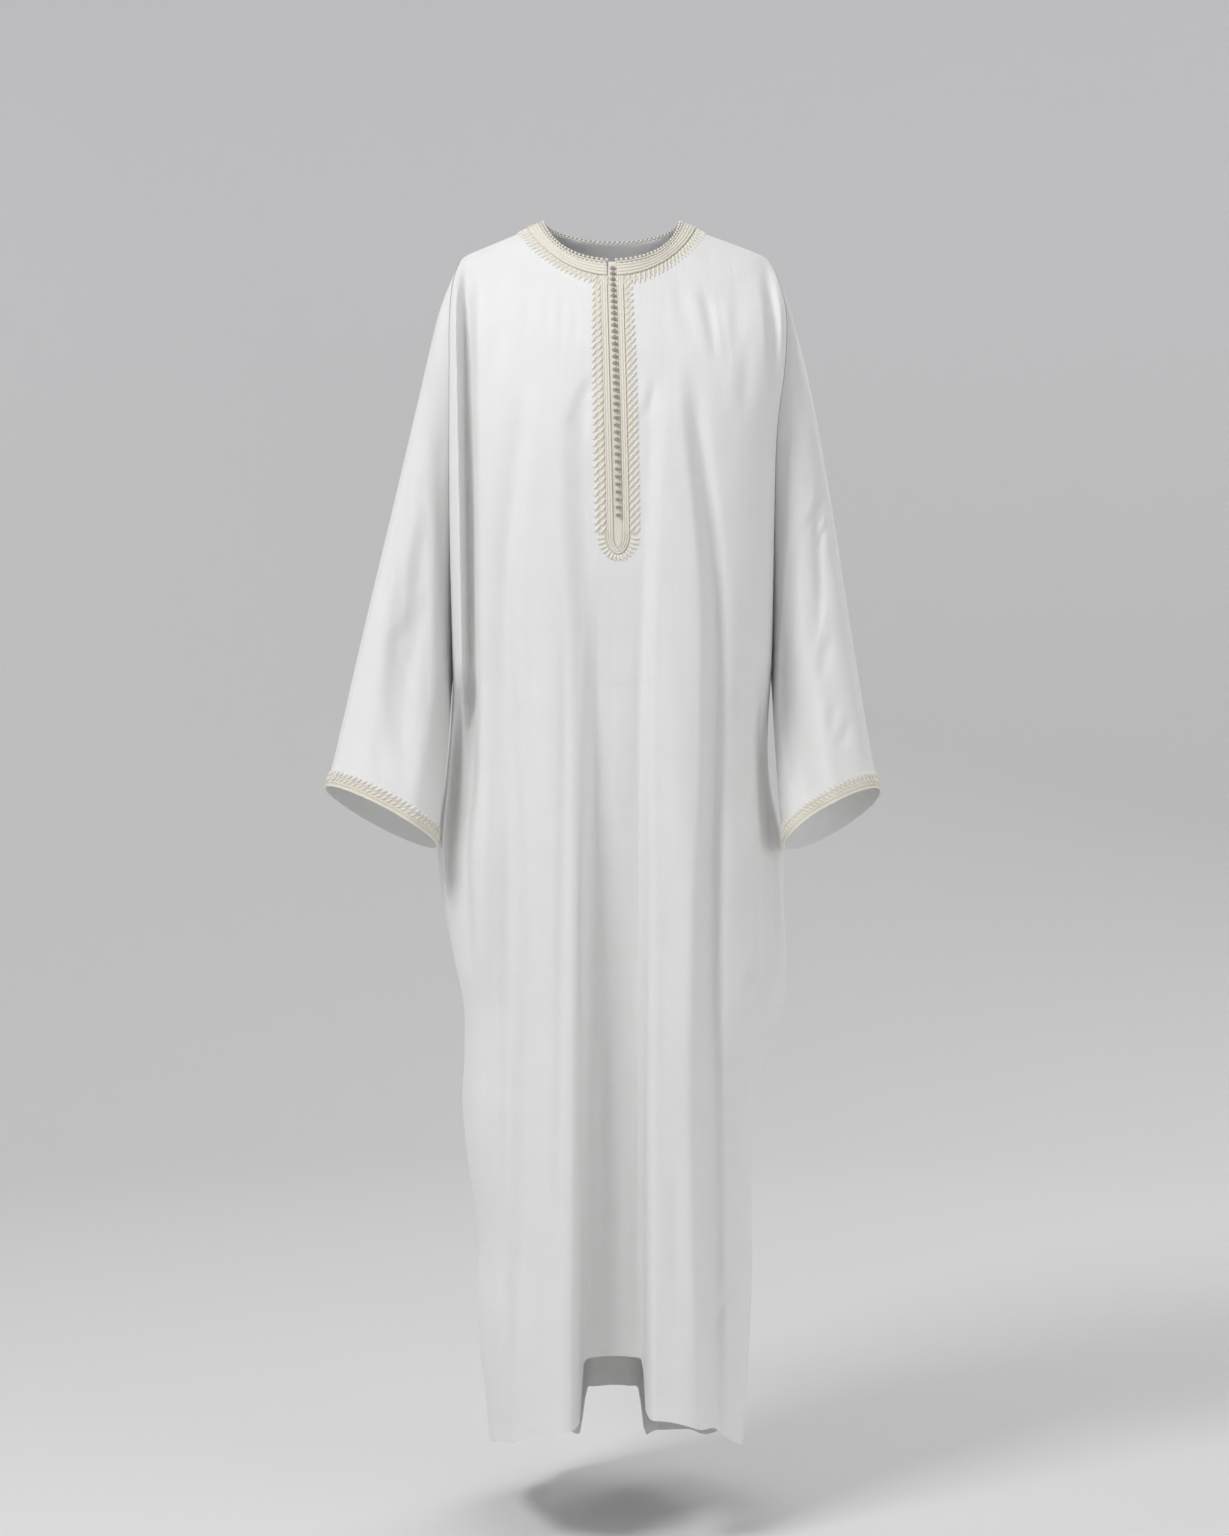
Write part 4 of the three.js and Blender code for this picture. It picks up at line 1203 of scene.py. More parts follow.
def flat_places(outer: Array) -> Array:
    """Places of a grid's points on the flat cloth, in metres.

    Across, it is the length along each row from its middle. Down, it is the mean length of the columns.

    Args:
        outer: rows down and columns across, in millimetres.

    Returns:
        Two coordinates for each point.
    """
    across = np.linalg.norm(np.diff(outer, axis=1), axis=-1).cumsum(axis=1)
    across = np.pad(across, ((0, 0), (1, 0)))
    across = across - across[:, [across.shape[1] // 2]]
    down = np.linalg.norm(np.diff(outer, axis=0), axis=-1).mean(axis=1).cumsum()
    down = np.broadcast_to(np.pad(down, (1, 0))[:, None], across.shape)
    return np.stack([across, -down], axis=-1) * MM


def cells(i: Array, j: Array) -> Array:
    """Corners of the cells at rows `i` and columns `j`: itself, below, below right and right."""
    return np.stack([np.stack([i, j]), np.stack([i + 1, j]), np.stack([i + 1, j + 1]), np.stack([i, j + 1])])


def wall(
    outer: Array,
    inner: Array,
    around: bool = False,
    flip: bool = False,
    opened: Array | None = None,
) -> Shape:
    """A closed wall between an outer and an inner grid of points.

    Args:
        outer: rows down it and columns left to right as it is faced, in millimetres.
        inner: the point behind each of those.
        around: whether the last column is the first one again, as on a tube.
        flip: whether the columns run right to left.
        opened: the cells that are cut away.

    Returns:
        Its points, its faces and their corners' places on the flat cloth.
    """
    rows, columns = outer.shape[:2]
    flat = flat_places(outer)
    kept = columns - 1 if around else columns
    i, j = np.meshgrid(np.arange(rows - 1), np.arange(columns - 1), indexing="ij")
    keep = np.ones(i.shape, bool) if opened is None else ~opened
    corner = cells(i[keep], j[keep])
    if flip:
        corner = corner[::-1]
    number = (corner[:, 0] * kept + corner[:, 1] % kept).T
    places = flat[corner[:, 0], corner[:, 1]].transpose(1, 0, 2)
    count = rows * kept
    behind = number[:, ::-1] + count
    first, second = number, np.roll(number, -1, axis=1)
    a, b = first.ravel(), second.ravel()
    rim = ~np.isin(a * count + b, b * count + a)
    a, b = a[rim], b[rim]
    edge = np.stack([b, a, a + count, b + count], axis=1)
    start = places.reshape(-1, 2)[rim]
    stop = np.roll(places, -1, axis=1).reshape(-1, 2)[rim]
    edge_places = np.stack([stop, start, start, stop], axis=1)
    points = np.concatenate([outer[:, :kept].reshape(-1, 3), inner[:, :kept].reshape(-1, 3)])
    return points, [number, behind, edge], [places, places[:, ::-1], edge_places]


def resample(line: Array, normals: Array, step: float) -> tuple[Array, Array]:
    """A line's points again, about `step` apart, with their normals.

    Args:
        line: the line's points.
        normals: one for each of them.
        step: length between the new points.

    Returns:
        The new points and their unit normals.
    """
    length = np.pad(np.linalg.norm(np.diff(line, axis=0), axis=1).cumsum(), (1, 0))
    at = np.linspace(0, length[-1], max(int(np.ceil(length[-1] / step)) + 1, 3))
    points = np.stack([np.interp(at, length, line[:, k]) for k in range(3)], axis=1)
    normals = np.stack([np.interp(at, length, normals[:, k]) for k in range(3)], axis=1)
    return points, unit(normals)


@dataclass(frozen=True)
class Cord:
    """A fine twisted cord that is couched onto the cloth.

    Attributes:
        radius: of the whole cord.
        pitch: length of one twist.
        strands: how many strands it is twisted from.
        groove: share of the radius that the grooves between strands take.
        sides: points round it.
        step: length between rings of points.
    """

    radius: float = 0.9
    pitch: float = 4.2
    strands: int = 2
    groove: float = 0.3
    sides: int = 8
    step: float = 0.6

    def along(self, line: Array, normals: Array, closed: bool = False) -> Shape:
        """The cord along a line.

        Its section is a circle whose radius falls to its grooves as |cos|, turning by one strand each pitch
        over the number of strands.

        Args:
            line: the cord's middle line, in millimetres.
            normals: the cloth's normals along it.
            closed: whether its ends meet.

        Returns:
            Its points, faces and their places on the flat cloth.
        """
        points, up = resample(line, normals, self.step)
        if closed:
            ahead = unit(np.roll(points[:-1], -1, axis=0) - np.roll(points[:-1], 1, axis=0))
            ahead = np.concatenate([ahead, ahead[:1]])
        else:
            ahead = unit(np.gradient(points, axis=0))
        side = unit(np.cross(up, ahead))
        up = np.cross(ahead, side)
        turn = np.linspace(0, 2 * np.pi, self.sides + 1)[None, :]
        length = np.linspace(0, len(points) * self.step, len(points))[:, None]
        if closed:
            twists = max(round(length[-1, 0] / self.pitch), 1)
            length = length / length[-1, 0] * twists * self.pitch
        twist = np.abs(np.cos(self.strands * (turn - 2 * np.pi * length / self.pitch) / 2))
        radius = self.radius * (1 - self.groove + self.groove * twist)
        if not closed:
            taper = np.minimum(np.arange(len(points)), np.arange(len(points))[::-1])[:, None]
            radius = radius * np.clip((taper + 0.02) / 1.5, 0.02, 1)
        ring = side[:, None] * np.cos(turn)[..., None] + up[:, None] * np.sin(turn)[..., None]
        shape = points[:, None] + ring * radius[..., None]
        flat = np.broadcast_arrays(length, turn * self.radius)
        flat = np.stack(flat, axis=-1) * MM
        rows = len(points) - 1 if closed else len(points)
        i, j = np.meshgrid(np.arange(len(points) - 1), np.arange(self.sides), indexing="ij")
        corner = cells(i.ravel(), j.ravel())[[0, 3, 2, 1]]
        number = ((corner[:, 0] % rows) * self.sides + corner[:, 1] % self.sides).T
        places = flat[corner[:, 0], corner[:, 1]].transpose(1, 0, 2)
        faces, uv = [number], [places]
        if not closed:
            caps = np.stack([np.arange(self.sides)[::-1], (rows - 1) * self.sides + np.arange(self.sides)])
            faces.append(caps)
            uv.append(np.zeros((2, self.sides, 2)))
        return shape[:rows, :-1].reshape(-1, 3), faces, uv


def ball_faces(rings: int, sides: int) -> tuple[Array, Array]:
    """Faces of a ball made of rings of points, with a tip at each end, numbered after the last ring.

    Args:
        rings: how many there are between the tips.
        sides: points round each.

    Returns:
        Its faces of four corners and those of three.
    """
    i, j = np.meshgrid(np.arange(rings - 1), np.arange(sides), indexing="ij")
    i, j = i.ravel(), j.ravel()
    k = (j + 1) % sides
    quads = np.stack([i * sides + j, (i + 1) * sides + j, (i + 1) * sides + k, i * sides + k], axis=1)
    j = np.arange(sides)
    k = (j + 1) % sides
    tip, last = rings * sides, (rings - 1) * sides
    start = np.stack([np.full_like(j, tip), j, k], axis=1)
    end = np.stack([np.full_like(j, tip + 1), last + k, last + j], axis=1)
    return quads, np.concatenate([start, end])


def join(parts: list[Shape]) -> Shape:
    """Several shapes as one, with their vertex numbers carried on.

    Args:
        parts: the shapes.

    Returns:
        The one shape.
    """
    points, faces, uv, start = [], [], [], 0
    for shape, groups, places in parts:
        points.append(shape)
        faces.extend(group + start for group in groups)
        uv.extend(places)
        start += len(shape)
    return np.concatenate(points), faces, uv


@dataclass(frozen=True)
class Bar:
    """A padded satin stitch: a small bar with round ends, highest in its middle.

    Attributes:
        width: across the bar.
        rise: above the cloth.
        rings: of points along it.
        sides: points round it.
    """

    width: float
    rise: float
    rings: int = 6
    sides: int = 8

    def between(self, start: Array, end: Array, normals: Array) -> Shape:
        """Bars from each start to each end.

        Each is an ellipsoid, squarer along its length: the share of its width at q, from -1 to 1, is the root
        of 1 - |q|^2.6.

        Args:
            start: N places on the cloth.
            end: the other end of each bar.
            normals: the cloth's normals there.

        Returns:
            Points, faces and their places on the flat cloth.
        """
        q = -np.cos(np.linspace(0, np.pi, self.rings + 2))
        full = np.sqrt(np.maximum(1 - np.abs(q) ** 2.6, 0))
        turn = np.arange(self.sides) * 2 * np.pi / self.sides
        middle, half = (start + end) / 2, (end - start) / 2
        long = unit(half)
        side = unit(np.cross(normals, long))
        up = np.cross(long, side)
        rings = q[1:-1, None], full[1:-1, None] * np.cos(turn), full[1:-1, None] * np.sin(turn)
        x, y, z = (np.broadcast_to(part, (self.rings, self.sides)).ravel() for part in rings)
        x, y, z = (np.concatenate([part, tip]) for part, tip in ((x, [-1, 1]), (y, [0, 0]), (z, [0, 0])))
        across, above = (y * self.width / 2)[None, :, None], (z * self.rise)[None, :, None]
        shape = middle[:, None] + half[:, None] * x[None, :, None]
        shape = shape + side[:, None] * across + up[:, None] * above
        quads, tips = ball_faces(self.rings, self.sides)
        step = (np.arange(len(start)) * len(x))[:, None, None]
        length = np.linalg.norm(half, axis=1)[:, None]
        flat = np.stack(np.broadcast_arrays(x * length, across[..., 0]), axis=-1) * MM
        faces = [(quads[None] + step).reshape(-1, 4), (tips[None] + step).reshape(-1, 3)]
        places = [flat[:, quads].reshape(-1, 4, 2), flat[:, tips].reshape(-1, 3, 2)]
        return shape.reshape(-1, 3), faces, places


# Sub-assemblies.


def crowded(stops: tuple[float, ...], counts: tuple[int, ...]) -> Array:
    """Values from each stop to the next, in the given number of steps."""
    parts = [np.linspace(a, b, n, endpoint=False) for a, b, n in zip(stops, stops[1:], counts)]
    return np.concatenate([*parts, [stops[-1]]])


@dataclass
class BodyPanel:
    """The front or back of crepe, from neckline to hem.

    Attributes:
        name: the piece's name.
        nodes: the CAD nodes that it stands for.
        form: its shape.
        columns: angles in degrees where the spacing of its points changes.
        column_counts: points between those.
        stations: stations where the spacing of its rows changes.
        row_counts: rows between those.
        cut: width and length of the cloth it is cut from, and its flat area in square metres. It is not used.
        hem: depth of the hem that is turned up inside, and how far it lifts the cloth.
        slit: how far left of the buttons its lips lie, and the station where it ends.
        passes: how often the cloth is evened out.
    """

    name: str
    nodes: tuple[str, ...]
    form: PanelForm
    columns: tuple[float, ...]
    column_counts: tuple[int, ...]
    stations: tuple[float, ...]
    row_counts: tuple[int, ...]
    cut: tuple[float, float, float]
    hem: tuple[float, float] = (22.0, 0.35)
    slit: tuple[float, float, float] | None = None
    passes: int = 40

    def grid(self) -> tuple[Array, Array, Array | None]:
        """Angles and stations of the panel's points, and the cells that its slit cuts away.

        Returns:
            The angles, the stations, and a mask of the cut cells where it has a slit.
        """
        angles = np.radians(crowded(self.columns, self.column_counts))
        stations = crowded(self.stations, self.row_counts)
        q = np.clip(stations - 1, 0, 1)
        even = np.arccos(1 - 2 * q) / np.pi
        stations = np.where(q < 1, stations - q + lerp(q, even, 0.7), stations)
        if self.slit is None:
            u, v = np.meshgrid(angles, stations)
            return u, v, None
        near, far, end = self.slit
        lips = self.form.turn_at(np.array([-far, -near]))
        angles = np.concatenate([angles[np.abs(angles - lips.mean()) > np.ptp(lips)], lips])
        angles.sort()
        stations[np.abs(stations - end).argmin()] = end
        u, v = np.meshgrid(angles, stations)
        u, left = u.copy(), int(np.searchsorted(angles, lips[0]))
        pinch = np.where(stations <= end, (stations / end) ** 2, np.clip(1 - (stations - end) / 0.08, 0, 1))
        for column, way in ((left, 1), (left + 1, -1)):
            u[:, column] += way * 0.46 * np.ptp(lips) * pinch
        opened = np.zeros((len(stations) - 1, len(angles) - 1), bool)
        opened[: int(np.searchsorted(stations, end)), left] = True
        return u, v, opened

    def relaxed(self, points: Array, u: Array, v: Array) -> Array:
        """Evens out the cloth where the yoke, the armholes and the skirt run into each other.

        Each pass moves a point a share of the way to the mean of its neighbours up and down. The share is
        greatest at stations 1 and 2, and none at the seams or near the placket.

        Args:
            points: rows down and columns across.
            u: their angles.
            v: their stations.

        Returns:
            The evened points.
        """
        turn = np.abs(u)
        beside = smoothstep(turn, np.radians(19), np.radians(32))
        beside = beside * smoothstep(np.pi / 2 - turn, 0, np.radians(7))
        near = np.exp(-(((v - 1.03) / 0.16) ** 2)) + np.exp(-(((v - 2) / 0.07) ** 2))
        share = (0.5 * beside * np.minimum(near, 1))[1:-1, :, None]
        for _ in range(self.passes):
            mean = (points[:-2] + points[2:]) / 2
            points[1:-1] += share * (mean - points[1:-1])
        return points

    def build(self, room: Workroom) -> bpy.types.Object:
        """Makes the panel: its outer side, its inner side one thickness behind, and its edges.

        The turned-up hem lifts the cloth over its depth, with a shallow groove where it is sewn.

        Args:
            room: makes the pieces.

        Returns:
            The panel.
        """
        u, v, opened = self.grid()
        points, normals = self.form.spots(u, v)
        points = self.relaxed(points, u, v)
        flat = normals[:, [0, -1]]
        flat[..., 1] = 0
        normals[:, [0, -1]] = unit(flat)
        depth, lift = self.hem
        above = np.abs(points[..., 2] - points[-1:, :, 2])
        sewn = 0.5 * np.exp(-(((above - depth) / 2.2) ** 2))
        turned = lift * (1 - smoothstep(above, depth - 1.5, depth + 3)) - sewn
        seam = -0.7 * np.exp(-(((np.pi / 2 - np.abs(u)) / np.radians(0.9)) ** 2))
        outer = points + normals * (turned + seam)[..., None]
        inner = points - normals * CLOTH
        shape, faces, uv = wall(outer, inner, opened=opened)
        piece = room.piece(self.name, shape, faces, uv, Crepe(), self.nodes)
        return piece


@dataclass
class Sleeve:
    """A wide sleeve of crepe, which ends under its embroidered cuff.

    Attributes:
        side: left or right.
        nodes: the CAD nodes that it stands for.
        cut: width and length of the cloth it is cut from, and its flat area in square metres. It is not used.
        around: points round it.
        rows: points along it.
    """

    side: Side
    nodes: tuple[str, ...]
    cut: tuple[float, float, float]
    around: int = 120
    rows: int = 150

    def build(self, room: Workroom) -> bpy.types.Object:
        """Makes the tube. Its seams, at the top and under the arm, are shallow grooves.

        Args:
            room: makes the pieces.

        Returns:
            The sleeve.
        """
        form = SLEEVES[self.side]
        u, v = np.meshgrid(np.linspace(0, 2 * np.pi, self.around + 1), np.linspace(0, 1, self.rows))
        points, normals = form.spots(u, v)
        normals[:, -1] = normals[:, 0] = unit(normals[:, 0] + normals[:, -1])
        first = normals[0].copy()
        first[:, 0] = 0
        normals[0] = unit(first)
        seam = -0.6 * np.exp(-((np.sin(u) / 0.03) ** 2))
        outer = points + normals * seam[..., None]
        inner = points - normals * CLOTH
        shape, faces, uv = wall(outer, inner, around=True, flip=form.turn_over)
        piece = room.piece(f"sleeve_cloth_{self.side.name.lower()}", shape, faces, uv, Crepe(), self.nodes)
        return piece


@dataclass
class NeckTrim:
    """Braid, picots and stitches round the neck, from the right of the slit round to its left.

    Attributes:
        start: where it starts, right of the buttons.
        end: where it ends, left of the buttons.
        braid_edge: station of the braid's lower edge.
        stitch_edge: station of the stitches' lower edge.
        thickness: of the flat braid.
        cords: stations of the cords couched on the braid.
        cord: what those are.
        picot: the knot of a picot.
        picot_pitch: from one picot to the next.
        picot_reach: how far its knot stands out past the neckline.
        picot_half: half the length of its knot.
        stitch_pitch: from one pair of stitches to the next.
        stitch_rows: for each row the shares of the band where it starts and ends, its slant and its stitch.
        lift: of the stitches above the cloth.
    """

    start: float = 4.5
    end: float = 6.8
    braid_edge: float = 0.18
    stitch_edge: float = 0.3
    thickness: float = 1.3
    cords: tuple[float, ...] = (0.012, 0.052, 0.092, 0.132, 0.17)
    cord: Cord = Cord(radius=1.05, groove=0.45)
    picot: Bar = Bar(3.3, 2.1)
    picot_pitch: float = 5.9
    picot_reach: float = 1.9
    picot_half: float = 1.8
    stitch_pitch: float = 6.6
    stitch_rows: tuple[tuple[float, float, float, Bar], ...] = (
        (0.04, 0.56, 2.8, Bar(2.6, 1.4)),
        (0.46, 1.06, 2.6, Bar(2.3, 1.3)),
    )
    lift: float = 0.55

    def spots(self, stations: Array, samples: int = 420) -> tuple[Array, Array]:
        """Points and normals along the neck's line.

        It runs over the right half of the front, the whole back and the left half of the front.

        Args:
            stations: one value for each row.
            samples: points along it.

        Returns:
            Points and normals, a row for each station.
        """
        share = np.linspace(0, 1, samples // 4)
        first = lerp(float(FRONT.turn_at(self.start)), np.pi / 2, share)
        last = lerp(-np.pi / 2, float(FRONT.turn_at(-self.end)), share)
        behind = np.linspace(-np.pi / 2, np.pi / 2, samples // 2)[1:-1]
        parts = [
            form.spots(*np.meshgrid(turns, stations))
            for form, turns in ((FRONT, first), (BACK, behind), (FRONT, last))
        ]
        points, normals = (np.concatenate(part, axis=1) for part in zip(*parts))
        return points, normals

    def line(self, station: float, height: float, step: float) -> tuple[Array, Array]:
        """A line round the neck at one station, `height` above the cloth, in even steps."""
        points, normals = self.spots(np.array([station]))
        return resample(points[0] + normals[0] * height, normals[0], step)

    def build(self, room: Workroom) -> list[bpy.types.Object]:
        """Makes the flat braid, its cords, the picots on the neckline and the stitches outside it.

        Args:
            room: makes the pieces.

        Returns:
            The pieces.
        """
        rows = np.linspace(0, self.braid_edge, 9)
        points, normals = self.spots(rows)
        q = np.linspace(-1, 1, len(rows))[:, None, None]
        height = 0.5 + self.thickness * np.sqrt(np.maximum(1 - q**8, 0))
        shape = wall(points + normals * height, points + normals * 0.3)
        pieces = [room.piece("neck_braid_band", *shape, SilkBraid(), ("neck_braid",))]

        lines = [self.line(station, self.thickness + 0.65, self.cord.step) for station in self.cords]
        cords = join([self.cord.along(*line) for line in lines])
        pieces.append(room.piece("neck_braid_cords", *cords, SilkBraid()))

        knots, up = self.line(0.0, 0.9, self.picot_pitch)
        ahead = unit(np.gradient(knots, axis=0))
        out = unit(np.cross(up, ahead))
        middle, half = knots + out * self.picot_reach, ahead * self.picot_half
        picots = self.picot.between(middle - half, middle + half, up)
        pieces.append(room.piece("neck_picot_knots", *picots, SatinStitch()))
        loops = [self.loop(a, b, n, o) for a, b, n, o in zip(knots[:-1], knots[1:], up, out)]
        pieces.append(room.piece("neck_picot_loops", *join([*loops, self.zigzag()]), SilverThread()))

        rows = np.linspace(self.braid_edge + 0.004, lerp(self.braid_edge, self.stitch_edge, 0.72), 5)
        points, normals = self.spots(rows)
        ground = wall(points + normals * self.lift, points + normals * 0.15)
        pieces.append(room.piece("neck_stitch_ground", *ground, StitchedGround(), ("neck_embroidery",)))
        pieces.append(room.piece("neck_stitches", *self.stitches(), SatinStitch()))
        return pieces

    def loop(self, start: Array, end: Array, up: Array, out: Array) -> Shape:
        """A thread loop between two picot knots: half an ellipse that stands out from the neckline.

        Args:
            start: one knot.
            end: the next.
            up: the cloth's normal.
            out: away from the neckline.

        Returns:
            The loop.
        """
        turn = np.linspace(0, np.pi, 9)[:, None]
        middle, half = (start + end) / 2, (end - start) / 2
        line = middle - half * np.cos(turn) * 0.9 + out * (0.6 + 2.6 * np.sin(turn))
        return Cord(radius=0.7, step=1.0, sides=6, groove=0.0).along(line, np.broadcast_to(up, line.shape))

    def zigzag(self) -> Shape:
        """A thread that runs to and fro between the picots and the first cord.

        Returns:
            The thread.
        """
        line, up = self.line(0.02, self.thickness + 0.5, self.picot_pitch / 2)
        out = unit(np.cross(up, unit(np.gradient(line, axis=0))))
        swing = np.where(np.arange(len(line)) % 2, 1.5, -1.1)[:, None]
        return Cord(radius=0.6, step=0.8, sides=6, groove=0.0).along(line + out * swing, up)

    def stitches(self) -> Shape:
        """Pairs of slanting bars outside the braid: a long one by the braid and a short one beyond it.

        Returns:
            All the bars, as one shape.
        """
        parts = []
        width = self.stitch_edge - self.braid_edge
        for low, high, slant, bar in self.stitch_rows:
            inner, normals = self.line(self.braid_edge + low * width, self.lift, self.stitch_pitch)
            outer, _ = self.line(self.braid_edge + high * width, self.lift, self.stitch_pitch)
            share, own = np.linspace(0, 1, len(inner)), np.linspace(0, 1, len(outer))
            outer = np.stack([np.interp(share, own, outer[:, k]) for k in range(3)], axis=1)
            ahead = unit(np.gradient(inner, axis=0))
            parts.append(bar.between(inner + ahead * slant / 2, outer - ahead * slant / 2, normals))
        return join(parts)


@dataclass
class Placket:
    """The buttoned placket down the middle of the front.

    Widths are measured from its row of buttons.

    Attributes:
        left_braid: edges of the left braid.
        right_braid: edges of the right braid.
        left_edge: outer edge of the stitches on the left.
        right_edge: outer edge of the stitches on the right.
        end_z: height where its straight sides end.
        turns: reach of the rounded end, for braid and stitches.
        bars: pairs of stitches down each side.
        slope: height for each unit of width that they slant by.
        under_neck: station just below the neck braid.
        band: how far a braid's middle stands out, and the gap under its edge.
        ground: the same of the ground of the stitches.
        margin: how far the stitches reach past their ground.
        cords: shares of the braid's width where its cords lie.
        stitch_rows: for each column its middle and reach as shares of the width, its shift and its stitch.
    """

    left_braid: tuple[float, float] = (-14.0, -6.8)
    right_braid: tuple[float, float] = (4.5, 11.5)
    left_edge: float = -27.0
    right_edge: float = 24.0
    end_z: float = -372.0
    turns: tuple[tuple[float, float], tuple[float, float]] = ((16.0, 22.8), (23.2, 32.4))
    bars: int = 37
    slope: float = 0.95
    under_neck: float = 0.184
    band: tuple[float, float] = (0.9, 0.4)
    ground: tuple[float, float] = (0.35, 0.2)
    margin: float = 4.5
    cords: tuple[float, ...] = (0.12, 0.5, 0.88)
    stitch_rows: tuple[tuple[float, float, float, Bar], ...] = (
        (0.27, 0.27, 0.0, Bar(2.7, 1.6)),
        (0.74, 0.25, 0.25, Bar(2.6, 1.5)),
    )

    def top(self, x: Array, station: float | None = None) -> Array:
        """Height of the cloth at a station, just below the neck braid unless given, at each width."""
        station = self.under_neck if station is None else station
        return FRONT.points(FRONT.turn_at(x), np.full(np.shape(x), station))[..., 2]

    def strip(
        self,
        left: float,
        right: float,
        height: float,
        gap: float,
        reach: float = 0.0,
        start: float | None = None,
        notch: float = 0.0,
    ) -> Shape:
        """A flat strip from the neck to the placket's end, rounded at its edges.

        Args:
            left: its left edge.
            right: its right edge.
            height: how far its middle stands out.
            gap: between the cloth and its edge.
            reach: how far its round end goes past the end of the straight sides.
            start: station where it starts, just below the neck braid unless given.
            notch: how far its left edge stands back beside the slit in the neck.

        Returns:
            Its points, faces and their places on the flat cloth.
        """
        across, share = np.meshgrid(np.linspace(-1, 1, 9), np.linspace(0, 1, 160))
        z = lerp(self.top(left + (across + 1) * (right - left) / 2, start), self.end_z - reach, share)
        past = np.clip((self.end_z - z) / max(reach, 1.0), 0, 0.97)
        x = (left + right) / 2 + across * (right - left) / 2 * np.sqrt(1 - past**2)
        foot = self.top(np.array(left))
        x = right - (right - x) * (1 - notch / (right - left) * smoothstep(z, foot - 6, foot + 2))
        points, normals = FRONT.on_placket(x, z)
        q = across[..., None]
        crown = gap + height * np.sqrt(np.maximum(1 - q**8, 0))
        return wall(points + normals * crown, points + normals * (gap - 0.1))

    def half_ring(
        self,
        sides: tuple[float, float],
        reach: float,
        count: int,
    ) -> tuple[Array, Array]:
        """Widths and heights round the placket's end: half an ellipse between two sides.

        Args:
            sides: its left and right ends.
            reach: how far down its middle lies.
            count: points along it.

        Returns:
            The widths and the heights.
        """
        turn = np.pi * (np.linspace(0, 1, count) - 0.5)
        x = (sides[0] + sides[1]) / 2 + (sides[1] - sides[0]) / 2 * np.sin(turn)
        return x, self.end_z - SEAM_GAP - reach * np.cos(turn)

    def turned_end(
        self,
        inner: tuple[tuple[float, float], float],
        outer: tuple[tuple[float, float], float],
        height: float,
    ) -> Shape:
        """A flat band round the placket's end, between two half rings.

        Args:
            inner: sides and reach of its inner edge.
            outer: those of its outer edge.
            height: how far its middle stands out.

        Returns:
            The band.
        """
        count = 41
        rings = [self.half_ring(sides, reach, count) for sides, reach in (inner, outer)]
        share = np.linspace(0, 1, 6)[:, None]
        x = lerp(rings[0][0], rings[1][0], share)
        z = lerp(rings[0][1], rings[1][1], share)
        points, normals = FRONT.on_placket(x, z)
        crown = 0.3 + height * np.sqrt(np.maximum(1 - (2 * share - 1) ** 8, 0))[..., None]
        return wall(points + normals * crown, points + normals * 0.2)

    def cord_line(self, left: float, right: float, reach: float, height: float) -> tuple[Array, Array]:
        """A line down one side of the placket, round its end and up the other side.

        Args:
            left: place of the left side.
            right: place of the right side.
            reach: how far it goes round the end.
            height: how far it stands out.

        Returns:
            The line's points and normals.
        """
        down = np.linspace(0, 1, 120)
        z_left = lerp(float(self.top(np.array(left))), self.end_z, down)
        z_right = lerp(float(self.top(np.array(right))), self.end_z, down)[::-1]
        x_turn, z_turn = self.half_ring((left, right), reach, 25)
        x = np.concatenate([np.full(120, left), x_turn, np.full(120, right)])
        z = np.concatenate([z_left, z_turn, z_right])
        points, normals = FRONT.on_placket(x, z)
        return points + normals * height, normals

    def side_stitches(self, left: float, right: float) -> Shape:
        """Two columns of bars down one side, all slanting up to the right.

        They are small below the neck and reach their full length a quarter of the way down.

        Args:
            left: left edge of the column.
            right: its right edge.

        Returns:
            All the bars, as one shape.
        """
        width = right - left
        z_end = self.end_z + 2
        share = (np.arange(self.bars) + 0.5) / self.bars
        grown = 0.62 + 0.38 * smoothstep(share, 0.08, 0.3)
        parts = []
        for centre, reach, shift, bar in self.stitch_rows:
            x = np.full(self.bars, left + centre * width)
            z = lerp(self.top(x) - 3, z_end, share + shift / self.bars)
            dx = reach * width * grown
            dz = dx * self.slope * 1.25
            start, normals = FRONT.on_placket(x - dx, z - dz)
            end, _ = FRONT.on_placket(x + dx, z + dz)
            parts.append(bar.between(start + normals * 0.6, end + normals * 0.6, normals))
        return join(parts)

    def end_stitches(self) -> Shape:
        """Bars that fan out round the placket's end.

        Returns:
            All the bars, as one shape.
        """
        outside = self.turns[1]
        sides = (self.left_braid[0] - 1.5, self.right_braid[1] + 1.5)
        x0, z0 = self.half_ring(sides, outside[0], 17)
        x1, z1 = self.half_ring((self.left_edge + 0.5, self.right_edge - 0.5), outside[1] - 0.5, 17)
        inner, normals = FRONT.on_placket(x0[1:-1], z0[1:-1])
        outer, _ = FRONT.on_placket(x1[1:-1] + 1.0, z1[1:-1] + 1.0)
        return Bar(3.0, 1.3).between(inner + normals * 0.55, outer + normals * 0.55, normals)

